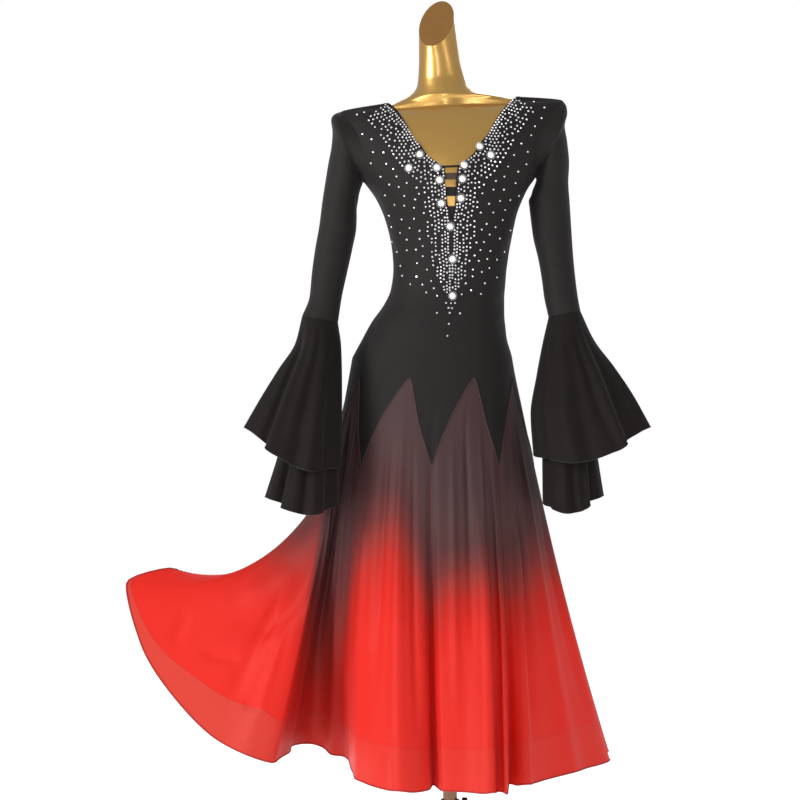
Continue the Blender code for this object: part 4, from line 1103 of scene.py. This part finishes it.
def arm_ring(row, turns):
    """Return the ring of a sleeve row, from its outer point round the front."""
    far = np.array([row.out_x, row.y, row.out_z])
    near = np.array([row.in_x, row.y, row.in_z])
    ring = (far + near) / 2 + (far - near) / 2 * np.cos(turns)[:, None]
    ring[:, 1] -= row.depth * np.sin(turns)
    return ring


def arm_cloth(name, grid, side, creases, material):
    """Make one tube of cloth on an arm, its columns turned to the viewer's right at the front."""
    if side > 0:
        grid = np.roll(grid[:, ::-1], 1, axis=1)
    grid = creased(grid, creases, closed=True, edges_kept=("top",))
    across = reach_across(grid)
    down = reach_along(grid)
    item = cloth(name + "_cloth", grid, across, down, material, closed=True)
    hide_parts(name)
    return grid


def sleeve(arm, material):
    """Build a sleeve from its armhole to the flounce's seam."""
    turns = np.arange(SLEEVE_SIDES) * 2 * math.pi / SLEEVE_SIDES
    rings = [armhole(arm.side, turns)] + [arm_ring(row, turns) for row in arm.sleeve]
    return arm_cloth(f"sleeve_{arm.name}", lofted(rings, SLEEVE_ROWS), arm.side, SLEEVE_CREASES, material)


def flounce(arm, rows, tier, material):
    """Build one tier of a flounce below the arm's seam; the lower tier starts inside the upper."""
    seam = arm.sleeve[-1]
    across = Vector((seam.out_x - seam.in_x, 0.0, seam.out_z - seam.in_z)).normalized()
    move = Vector((across.z, 0.0, -across.x)) * (arm.side * (tier.start + SEAM_GAP))
    narrow = across * tier.inset
    first = FlounceRow(seam.out_x + move.x - narrow.x, seam.out_z + move.z - narrow.z,
                       seam.in_x + move.x + narrow.x, seam.in_z + move.z + narrow.z,
                       seam.depth - tier.inset, seam.y, 0.0)
    levels = np.array([first] + rows)
    reach = reach_along((levels[:, 0:2] + levels[:, 2:4]) / 2)
    fine = monotone_curve(reach, levels)(np.linspace(0.0, reach[-1], FLOUNCE_ROWS))
    turns = np.arange(FLOUNCE_SIDES) * 2 * math.pi / FLOUNCE_SIDES
    grid = np.stack([flounce_ring(FlounceRow(*row), turns, tier) for row in fine])
    return arm_cloth(f"flounce_{tier.name}_{arm.name}", grid, arm.side, FLOUNCE_CREASES, material)


def flounce_ring(row, turns, tier):
    """Return a ring of a flounce, waved most on the side away from the body."""
    ring = arm_ring(row, turns)
    middle = (ring[0] + ring[len(ring) // 2]) / 2
    away = INNER_WAVE_SHARE + (1 - INNER_WAVE_SHARE) * (1 + np.cos(turns)) / 2
    main = np.sin(FLOUNCE_WAVES * turns + WAVE_START)
    fine = FINE_WAVE_SHARE * np.sin(2 * FLOUNCE_WAVES * turns + tier.fine_start)
    slow = SLOW_WAVE_SHARE * np.sin(SLOW_WAVES * turns + SLOW_WAVE_START)
    wave = FLOUNCE_WAVE * row.wave * away * (main + fine + slow)
    ring = ring + unit(ring - middle) * wave[:, None]
    ring[:, 2] -= tier.drop * row.wave * np.sin(turns) ** 2
    return ring


def straps(material, sheer):
    """Build the straps that cross the slit behind the bodice front; the top one is only a cord wide."""
    made = []
    for number, row in enumerate(STRAPS, start=1):
        angle = np.linspace(-row.half_angle, row.half_angle, STRAP_COLUMNS)[None]
        z = np.linspace(row.top, row.bottom, STRAP_ROWS)[:, None]
        points = torso(angle, z, STRAP_INSET)
        across = reach_across(points)
        down = reach_along(points)
        item = cloth(f"slit_strap_{number}_cloth", points, across, down,
                     sheer if number in SHEER_STRAPS else material)
        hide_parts(f"slit_strap_{number}")
        made.append((item, across.max(), down.max()))
    narrow = made.pop()[0]


def rooted(x, z, turns):
    """Return how far the form's front stands forward for the root of its neck."""
    forward = float(ROOT_CURVES["forward"](z)) if z < NECK_ROOT[-1].z else 0.0
    return np.where(np.cos(turns) > 0, forward, 0.0) * np.exp(-(x / NECK_ROOT_HALF) ** 2)


def form_rings(turns):
    """Return the form's rings from its flat bottom up to the top of its neck."""
    front = np.cos(turns) > 0
    hip = TORSO[1]
    rings = []
    for row in FORM_FOOT:
        depth = np.where(front, hip.front, hip.back) - FORM_INSET
        x = hip.centre + (hip.half - FORM_INSET) * row.share * np.sin(turns)
        rings.append(np.stack([x, -depth * row.share * np.cos(turns), np.full_like(x, row.z)], axis=-1))
    for row in TORSO[1:]:
        ring = torso(np.degrees(turns), row.z, FORM_INSET)
        ring[:, 2] -= FORM_SHOULDER_DROP if row.z > UPPER[-3].arm_z else 0.0
        ring[:, 1] -= rooted(ring[:, 0], row.z, turns)
        rings.append(ring)
    for row in NECK:
        x = row.centre + row.half * np.sin(turns)
        y = -np.where(front, row.front, row.back) * np.cos(turns) - rooted(x, row.z, turns)
        rings.append(np.stack([x, y, row.z + NECK_TILT * x], axis=-1))
    return rings


def form(material, cap_painted_shade_material):
    """Build the smooth form with its neck and the flat face of its slanted neck cap."""
    turns = np.arange(FORM_SIDES) * 2 * math.pi / FORM_SIDES
    rings = form_rings(turns)
    x = CAP_HALF * np.sin(turns)
    y = -CAP_DEPTH * np.cos(turns)
    top = np.array(CAP_CENTRE) + np.stack([x, y, CAP_SLOPE_X * x + CAP_SLOPE_Y * y], axis=-1)
    rings += [rings[-1] + (top - rings[-1]) * step / CAP_STEPS for step in range(1, CAP_STEPS + 1)]
    grid = lofted(rings, FORM_ROWS)[::-1]
    points = np.concatenate([grid.reshape(-1, 3), grid[-1].mean(axis=0)[None]])
    mesh = quad_mesh("form_gold", points, grid_quads(FORM_ROWS, FORM_SIDES, closed=True))
    close_end(mesh, (FORM_ROWS - 1) * FORM_SIDES, upward=False)
    item = finished("form_gold", mesh, material)
    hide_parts("form_body")
    cap = np.concatenate([top, top.mean(axis=0)[None]])
    cap_mesh = quad_mesh("form_neck_cap", cap, np.empty((0, 4), int))
    close_end(cap_mesh, 0, upward=True)
    # The cap's face takes the darker copy of the gold: painted shade
    finished("form_neck_cap", cap_mesh, cap_painted_shade_material, smooth=False)


def close_end(mesh, first, upward):
    """Close the ring of points that starts at the given point with triangles to the last point."""
    shape = bmesh.new()
    shape.from_mesh(mesh)
    shape.verts.ensure_lookup_table()
    middle = shape.verts[-1]
    ring = [shape.verts[first + k] for k in range(FORM_SIDES)]
    for here, after in zip(ring, ring[1:] + ring[:1]):
        shape.faces.new((here, after, middle) if upward else (after, here, middle))
    shape.to_mesh(mesh)
    shape.free()


def surface_at(x, z):
    """Return the point of the bodice front at x and z where a stone sits, and its direction out."""
    angle = angle_at(x, z)
    outward = torso_outward(angle, z)
    return torso(angle, z) + outward * STONE_LIFT, outward


def gem_shape(cut):
    """Return the points and faces of a flat-backed, faceted round stone that faces +Z."""
    sides = cut.sides
    turns = cut.turn + np.arange(sides) * 2 * math.pi / sides
    rings = ((cut.radius, 0.0, turns),
             (cut.radius, cut.height * GIRDLE_SHARE, turns),
             (cut.radius * CROWN_RADIUS_SHARE, cut.height * CROWN_HEIGHT_SHARE, turns + math.pi / sides),
             (cut.radius * cut.table_share, cut.height, turns))
    points = [(r * math.cos(a), r * math.sin(a), z) for r, z, angles in rings for a in angles]
    faces = []
    for k in range(sides):
        after = (k + 1) % sides
        faces.append((k, after, sides + after, sides + k))
        faces.append((sides + k, sides + after, 2 * sides + k))
        faces.append((2 * sides + k, sides + after, 2 * sides + after))
        faces.append((2 * sides + k, 2 * sides + after, 3 * sides + after))
        faces.append((2 * sides + k, 3 * sides + after, 3 * sides + k))
    faces.append(tuple(range(3 * sides, 4 * sides)))
    return points, faces


def gems(name, places, cut, material):
    """Make one mesh of many stones; each place is its seat, its direction out and its size."""
    points, faces = gem_shape(cut)
    all_points = []
    all_faces = []
    for seat, outward, size in places:
        turned = Vector(outward).to_track_quat("Z", "Y")
        start = len(all_points)
        all_points += [Vector(seat) + turned @ (Vector(point) * size) for point in points]
        all_faces += [tuple(start + k for k in face) for face in faces]
    mesh = bpy.data.meshes.new(name)
    mesh.from_pydata(all_points, [], all_faces)
    return finished(name, mesh, material, smooth=False)


def stone_row(distance):
    """Return a line at a distance outside the left edge of the neck, slit and centre front."""
    edge = np.array(STONE_LINE)
    reach = reach_along(edge)
    fine = monotone_curve(reach, edge)(np.linspace(0.0, reach[-1], STONE_LINE_POINTS))
    margin = STONE_LINE_SOFTNESS // 2
    padded = np.pad(np.gradient(fine, axis=0), ((margin, margin), (0, 0)), mode="edge")
    kernel = np.hanning(STONE_LINE_SOFTNESS)
    soft_x, soft_z = (np.convolve(column, kernel, mode="valid") for column in padded.T)
    return fine + unit(np.stack([soft_z, -soft_x], axis=-1)) * distance


def small_stone_places(rng):
    """Return where the small stones sit: rows that widen away from the neck edge, then a scatter."""
    field = table_curves(STONE_FIELD)
    neck = table_curves(FRONT_NECK)["half"]
    widest = STONE_FIELD[-1].dense
    taken = [tuple(row) for row in LAST_STONES]

    def free(x, z, apart):
        if any(math.dist((x, z), other) < LARGE_STONE_CLEARANCE for other in STONES):
            return False
        return all(math.dist((x, z), other) > apart for other in taken)

    distance = STONE_EDGE
    number = 0
    while distance < widest:
        step = STONE_STEP * (1.0 + STONE_SPREAD * distance / widest)
        line = stone_row(distance)
        reach = reach_along(line)
        for place in np.arange(number % 2 * step / 2, reach[-1], step):
            x, z = (float(value) for value in read_at(place, reach, line))
            if distance > float(field["dense"](z)) or z < STONE_LINE[-1].z:
                continue
            for side in (1, -1):
                moved = side * x + rng.uniform(-1, 1) * STONE_JITTER * step
                height = z + rng.uniform(-1, 1) * STONE_JITTER * step
                if free(moved, height, STONE_CROWDED * step):
                    taken.append((moved, height))
        distance += STONE_ROW_SHARE * step
        number += 1
    for _ in range(SCATTER_TRIES):
        z = rng.uniform(STONE_FIELD[0].z, STONE_FIELD[-1].z)
        half = float(field["reach"](z))
        x = rng.uniform(-half, half)
        edge = float(neck(z))
        dense = float(field["dense"](z))
        inside = abs(x) - edge - STONE_EDGE
        if inside < 0:
            continue
        share = min(max(inside - dense, 0.0) / max(half - edge - dense, SCATTER_LEAST), 1.0)
        if free(x, z, SCATTER_START + (SCATTER_END - SCATTER_START) * share ** SCATTER_BEND):
            taken.append((x, z))
    return taken


def stones(crystal, white):
    """Build the large stones with their rings of tiny stones, and the small stones."""
    rng = random.Random(SEED)
    item = gems("large_stones", [(*surface_at(row.x, row.z), 1.0) for row in STONES], LARGE_GEM, white)
    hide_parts(*[f"stone_{number:02d}" for number in range(1, len(STONES) + 1)])
    rings = []
    for row in STONES:
        for k in range(RING_STONES):
            turn = 2 * math.pi * k / RING_STONES
            place = surface_at(row.x + RING_RADIUS * math.cos(turn), row.z + RING_RADIUS * math.sin(turn))
            rings.append((*place, RING_STONE_SHARE))
    gems("stone_rings", rings, SMALL_GEM, crystal)
    places = [(*surface_at(x, z), 1.0 + rng.uniform(-STONE_SIZE_SPREAD, STONE_SIZE_SPREAD))
              for x, z in small_stone_places(rng)]
    gems("small_stones", places, SMALL_GEM, crystal)


def edge_of(grid, edge):
    """Return an edge of a grid as a path and the outward directions on it."""
    place = {"top": (0, slice(None)), "left": (slice(None), 0), "right": (slice(None), -1)}[edge]
    return grid[place], grid_outward(grid)[place]


def row_of(grid, inset, closed=False):
    """Return the line that runs a given length above a grid's lower edge, with its directions out."""
    reach = reach_along(grid)
    outward = grid_outward(grid, closed)
    places = reach[-1] - inset
    columns = list(range(grid.shape[1])) + ([0] if closed else [])
    path = [read_at(places[k], reach[:, k], grid[:, k]) for k in columns]
    away = [read_at(places[k], reach[:, k], outward[:, k]) for k in columns]
    return np.array(path), unit(np.array(away))


def skirt_trims(panels, materials):
    """Build the piping, the hem's rolled edge and the stitching of the hem band and the seams."""
    tops = [edge_of(grid, "top") for grid in panels]
    cords("godet_piping", [path + outward * PIPING_LIFT for path, outward in tops], PIPING_RADIUS,
          materials["piping"])
    cords("skirt_hem_edge", [grid[-1] for grid in panels], HEM_EDGE_RADIUS, materials["hem_edge"])
    bands = []
    for number, grid in enumerate(panels):
        place = np.linspace(number, number + 1, grid.shape[1]) - PANELS / 2
        bands.append(row_of(grid, HEM_BAND * DYE_AND_PAINTED_LIGHT_CURVES["band"](place)))
    stitches("skirt_hem_stitches", bands, materials["red_thread"], HEM_STITCH)
    seams = [edge_of(grid, "left") for grid in panels]
    stitches("skirt_seam_stitches", [(path + outward * SEAM_STITCH_LIFT, outward) for path, outward in seams],
             materials["red_thread"], SEAM_STITCH)


def black_trims(bodice, sleeves, flounces, material):
    """Build the stitching beside the bodice's edges and the cuffs' seams, and the flounces' hems."""
    rows = []
    for left, right in bodice:
        for inner, outward in ((left[:, -1 - EDGE_STITCH_COLUMNS], edge_of(left, "right")[1]),
                               (right[:, EDGE_STITCH_COLUMNS], edge_of(right, "left")[1])):
            rows.append((inner[:EDGE_STITCH_ROWS], outward[:EDGE_STITCH_ROWS]))
    rows += [row_of(grid, CUFF_STITCH, closed=True) for grid in sleeves]
    stitches("bodice_edge_stitches", rows, material, EDGE_STITCH)
    hems = [np.concatenate([grid[-1], grid[-1][:1]]) for grid in flounces]
    cords("flounce_hem_edges", hems, FLOUNCE_EDGE_RADIUS, material)


def constants(node, **values):
    """Set constants on a node's own sockets."""
    for name, value in values.items():
        node.inputs[name.replace("_", " ")].default_value = value


def feed(tree, socket, value):
    """Link an output to a socket, or set a constant on it."""
    if isinstance(value, bpy.types.NodeSocket):
        tree.links.new(value, socket)
    elif socket.type == "RGBA":
        socket.default_value = (*value, 1.0)
    else:
        socket.default_value = value


def new_material(name, colour, roughness, metallic=0.0):
    """Return a material, its node tree and its shader, with the constants set on the shader."""
    material = bpy.data.materials.new(name)
    material.use_nodes = True
    shader = material.node_tree.nodes["Principled BSDF"]
    constants(shader, Base_Color=(*colour, 1.0), Roughness=roughness, Metallic=metallic)
    return material, material.node_tree, shader


def linked(tree, kind, **inputs):
    """Add a node; each keyword is an input's value, or the output that feeds it."""
    node = tree.nodes.new(kind)
    for name, value in inputs.items():
        feed(tree, node.inputs[name.replace("_", " ")], value)
    return node


def calculated(tree, operation, first, second=0.0, third=0.0):
    """Add a math node and return its output."""
    node = tree.nodes.new("ShaderNodeMath")
    node.operation = operation
    for socket, value in zip(node.inputs, (first, second, third)):
        feed(tree, socket, value)
    return node.outputs[0]


def mixed(tree, share, first, second, blend_type="MIX"):
    """Add a colour mix and return its output."""
    node = tree.nodes.new("ShaderNodeMix")
    node.data_type = "RGBA"
    node.blend_type = blend_type
    for number, value in ((0, share), (6, first), (7, second)):
        feed(tree, node.inputs[number], value)
    return node.outputs[2]


def noise(tree, where, scale, detail):
    """Add a noise texture and return its height."""
    return linked(tree, "ShaderNodeTexNoise", Vector=where, Scale=scale, Detail=detail).outputs[0]


def ramped(tree, place, stops):
    """Add a colour ramp with the given stops and return its colour."""
    node = tree.nodes.new("ShaderNodeValToRGB")
    feed(tree, node.inputs[0], place)
    elements = node.color_ramp.elements
    while len(elements) < len(stops):
        elements.new(0.5)
    for element, (position, colour) in zip(elements, stops):
        element.position = position
        element.color = (*colour, 1.0)
    return node.outputs[0]


def bumped(tree, shader, height, strength, distance):
    """Link a height to a shader's normal through a bump."""
    bump = linked(tree, "ShaderNodeBump", Height=height, Strength=strength, Distance=distance)
    feed(tree, shader.inputs["Normal"], bump.outputs[0])


def fact(tree, name):
    """Return a number that a mesh stores at its points."""
    node = tree.nodes.new("ShaderNodeAttribute")
    node.attribute_name = name
    return node.outputs["Fac"]


def fabric_material(fabric):
    """Return a woven material, its shader, the place in its weave and the clouding of its tone."""
    material, tree, shader = new_material(fabric.name, fabric.colour, fabric.roughness)
    weave = tree.nodes.new("ShaderNodeUVMap")
    weave.uv_map = "weave"
    where = weave.outputs[0]
    apart = linked(tree, "ShaderNodeSeparateXYZ", Vector=where)
    moved = calculated(tree, "MULTIPLY", noise(tree, where, WEAVE_DRIFT_SCALE, FINE_DETAIL), fabric.warp)
    threads = []
    for output, step in zip(apart.outputs, (fabric.thread_across, fabric.thread_down)):
        place = calculated(tree, "MULTIPLY_ADD", output, 2 * math.pi / step, moved)
        threads.append(calculated(tree, "SINE", place))
    relief = calculated(tree, "MULTIPLY", *threads)
    constants(shader, Sheen_Weight=fabric.sheen, Sheen_Roughness=fabric.sheen_roughness,
              Specular_IOR_Level=fabric.specular)
    bumped(tree, shader, relief, fabric.relief, fabric.relief_depth)
    cloud = noise(tree, where, fabric.cloud_scale, fabric.cloud_detail)
    return material, shader, where, cloud


def let_through(tree, shader, colour, share):
    """Mix a shader with light that comes through the cloth."""
    through = linked(tree, "ShaderNodeBsdfTranslucent", Color=colour)
    both = linked(tree, "ShaderNodeMixShader", Fac=share)
    feed(tree, both.inputs[1], shader.outputs[0])
    feed(tree, both.inputs[2], through.outputs[0])
    feed(tree, tree.nodes["Material Output"].inputs[0], both.outputs[0])


def jersey_material():
    """Return matte black stretch jersey: fine ribs down the cloth, uneven tone and a soft sheen."""
    material, shader, where, cloud = fabric_material(JERSEY)
    tree = material.node_tree
    fleck = noise(tree, where, JERSEY_FLECK_SCALE, FINE_DETAIL)
    fleck = calculated(tree, "MULTIPLY", fleck, JERSEY_FLECK_SHARE)
    tone = mixed(tree, fleck, mixed(tree, cloud, JERSEY_DARK, JERSEY_LIGHT), JERSEY_FLECK)
    feed(tree, shader.inputs["Base Color"], tone)
    return material


def georgette_material(fabric):
    """Return dark sheer georgette: crinkled threads, a little light through it."""
    material, shader, _, cloud = fabric_material(fabric)
    tree = material.node_tree
    dark, light = (tuple(share * c for c in fabric.colour)
                   for share in (GEORGETTE_DARK_SHARE, GEORGETTE_LIGHT_SHARE))
    feed(tree, shader.inputs["Base Color"], mixed(tree, cloud, dark, light))
    let_through(tree, shader, GEORGETTE_THROUGH, fabric.through)
    return material


def satin_material():
    """Return chiffon over satin whose dye runs from brown black at the top through deep red to bright red,
    with painted shade darkening the recess and the sheer hem band painted lighter for the light that comes
    through it.
    """
    material, shader, _, cloud = fabric_material(SATIN)
    tree = material.node_tree
    spread = calculated(tree, "MULTIPLY_ADD", cloud, DYE_UNEVEN, -DYE_UNEVEN / 2)
    place = calculated(tree, "ADD", fact(tree, "dye"), spread)
    colour = ramped(tree, calculated(tree, "MULTIPLY_ADD", place, DYE_SPAN, DYE_START), DYE_STOPS)
    # Painted light: the real sheer hem band is tinted lighter and pinker for the light that comes through it,
    # most on the wing
    band_painted_light_share = calculated(tree, "LESS_THAN", fact(tree, "hem"), 1.0)
    band_painted_light_share = calculated(tree, "MULTIPLY", band_painted_light_share, fact(tree, "sheer"))
    band = mixed(tree, band_painted_light_share, colour, HEM_BAND_PAINTED_LIGHT_TINT, "MULTIPLY")
    # Painted shade: the recess is darkened by multiplying in a dark tint
    shade = calculated(tree, "MULTIPLY", fact(tree, "shadow"), RECESS_PAINTED_SHADE_SHARE)
    dye_with_painted_light = mixed(tree, shade, band, RECESS_PAINTED_SHADE_TINT, "MULTIPLY")
    feed(tree, shader.inputs["Base Color"], dye_with_painted_light)
    let_through(tree, shader, dye_with_painted_light, SATIN.through)
    return material


def plain_material(row):
    """Return a hard or threadlike surface whose tone and roughness vary a little, with fine wear."""
    material, tree, shader = new_material(row.name, row.colour, row.roughness, row.metallic)
    where = linked(tree, "ShaderNodeTexCoord").outputs["Object"]
    mapping = linked(tree, "ShaderNodeMapping", Vector=where, Scale=row.stretch)
    cloud = noise(tree, mapping.outputs[0], row.scale, PLAIN_DETAIL)
    dark, light = (tuple(min(share * c, 1.0) for c in row.colour)
                   for share in (1 - row.contrast, 1 + row.contrast))
    feed(tree, shader.inputs["Base Color"], mixed(tree, cloud, dark, light))
    rough = calculated(tree, "MULTIPLY_ADD", cloud, ROUGH_SPAN * row.roughness, ROUGH_LEAST * row.roughness)
    feed(tree, shader.inputs["Roughness"], rough)
    constants(shader, Coat_Weight=row.coat, Coat_Roughness=row.coat_roughness)
    bumped(tree, shader, cloud, row.wear, WEAR_DEPTH)
    return material


def make_materials():
    """Return every material by its key."""
    fabrics = {"jersey": jersey_material(), "georgette": georgette_material(GEORGETTE),
               "sheer": georgette_material(SHEER), "satin": satin_material()}
    return fabrics | {row.key: plain_material(row) for row in PLAIN}


def make_stage(floor_material):
    """Add the pale floor, the soft studio lights and the surrounding white."""
    size = STAGE_SIZE
    mesh = bpy.data.meshes.new("floor")
    mesh.from_pydata([(-size, -size, 0), (size, -size, 0), (size, size, 0), (-size, size, 0)], [],
                     [(0, 1, 2, 3)])
    constants(floor_material.node_tree.nodes["Principled BSDF"], Emission_Color=WHITE,
              Emission_Strength=FLOOR_GLOW, Specular_IOR_Level=0.0)
    mesh.materials.append(floor_material)
    linked_in(bpy.data.objects.new("floor", mesh))
    bpy.context.scene.view_settings.view_transform = "Standard"
    world = bpy.context.scene.world or bpy.data.worlds.new("studio")
    bpy.context.scene.world = world
    world.use_nodes = True
    tree = world.node_tree
    background = tree.nodes["Background"]
    background.inputs[0].default_value = WHITE
    seen = tree.nodes.new("ShaderNodeLightPath").outputs["Is Camera Ray"]
    strength = calculated(tree, "MULTIPLY_ADD", seen, 1.0 - WORLD_STRENGTH, WORLD_STRENGTH)
    feed(tree, background.inputs[1], strength)
    for row in LIGHTS:
        light = bpy.data.lights.new(row.name, "AREA")
        light.shape = "RECTANGLE"
        light.size = row.width
        light.size_y = row.height
        light.energy = row.power
        lamp = linked_in(bpy.data.objects.new(row.name, light))
        lamp.location = row.place
        lamp.rotation_euler = (Vector(row.target) - Vector(row.place)).to_track_quat("-Z", "Y").to_euler()


def make_camera():
    """Add the camera at the photograph's height, distance and angle."""
    lens = bpy.data.cameras.new("photo_camera")
    lens.lens = LENS_MM
    lens.sensor_width = SENSOR_MM
    camera = linked_in(bpy.data.objects.new("photo_camera", lens))
    camera.location = CAMERA_PLACE
    camera.rotation_euler = (math.radians(90.0), 0.0, 0.0)
    bpy.context.scene.camera = camera


def build_scene():
    """Build every piece, then the stage."""
    materials = make_materials()
    form(materials["gold"], materials["bronze"])
    bodice = [bodice_panel(front, materials["jersey"]) for front in (True, False)]
    panels = [skirt_panel(number, materials["satin"]) for number in range(1, PANELS + 1)]
    sleeves = []
    flounces = []
    for arm in ARMS:
        sleeves.append(sleeve(arm, materials["jersey"]))
        for rows, tier in ((arm.upper, UPPER_TIER), (arm.lower, LOWER_TIER)):
            flounces.append(flounce(arm, rows, tier, materials["georgette"]))
    straps(materials["jersey"], materials["sheer"])
    stones(materials["crystal"], materials["white_crystal"])
    skirt_trims(panels, materials)
    black_trims(bodice, sleeves, flounces, materials["black_thread"])
    for node, key in KEPT_NODES.items():
        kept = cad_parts[node].data.materials
        kept.clear()
        kept.append(materials[key])
    make_stage(materials["floor"])
    make_camera()


build_scene()
bpy.context.view_layer.update()
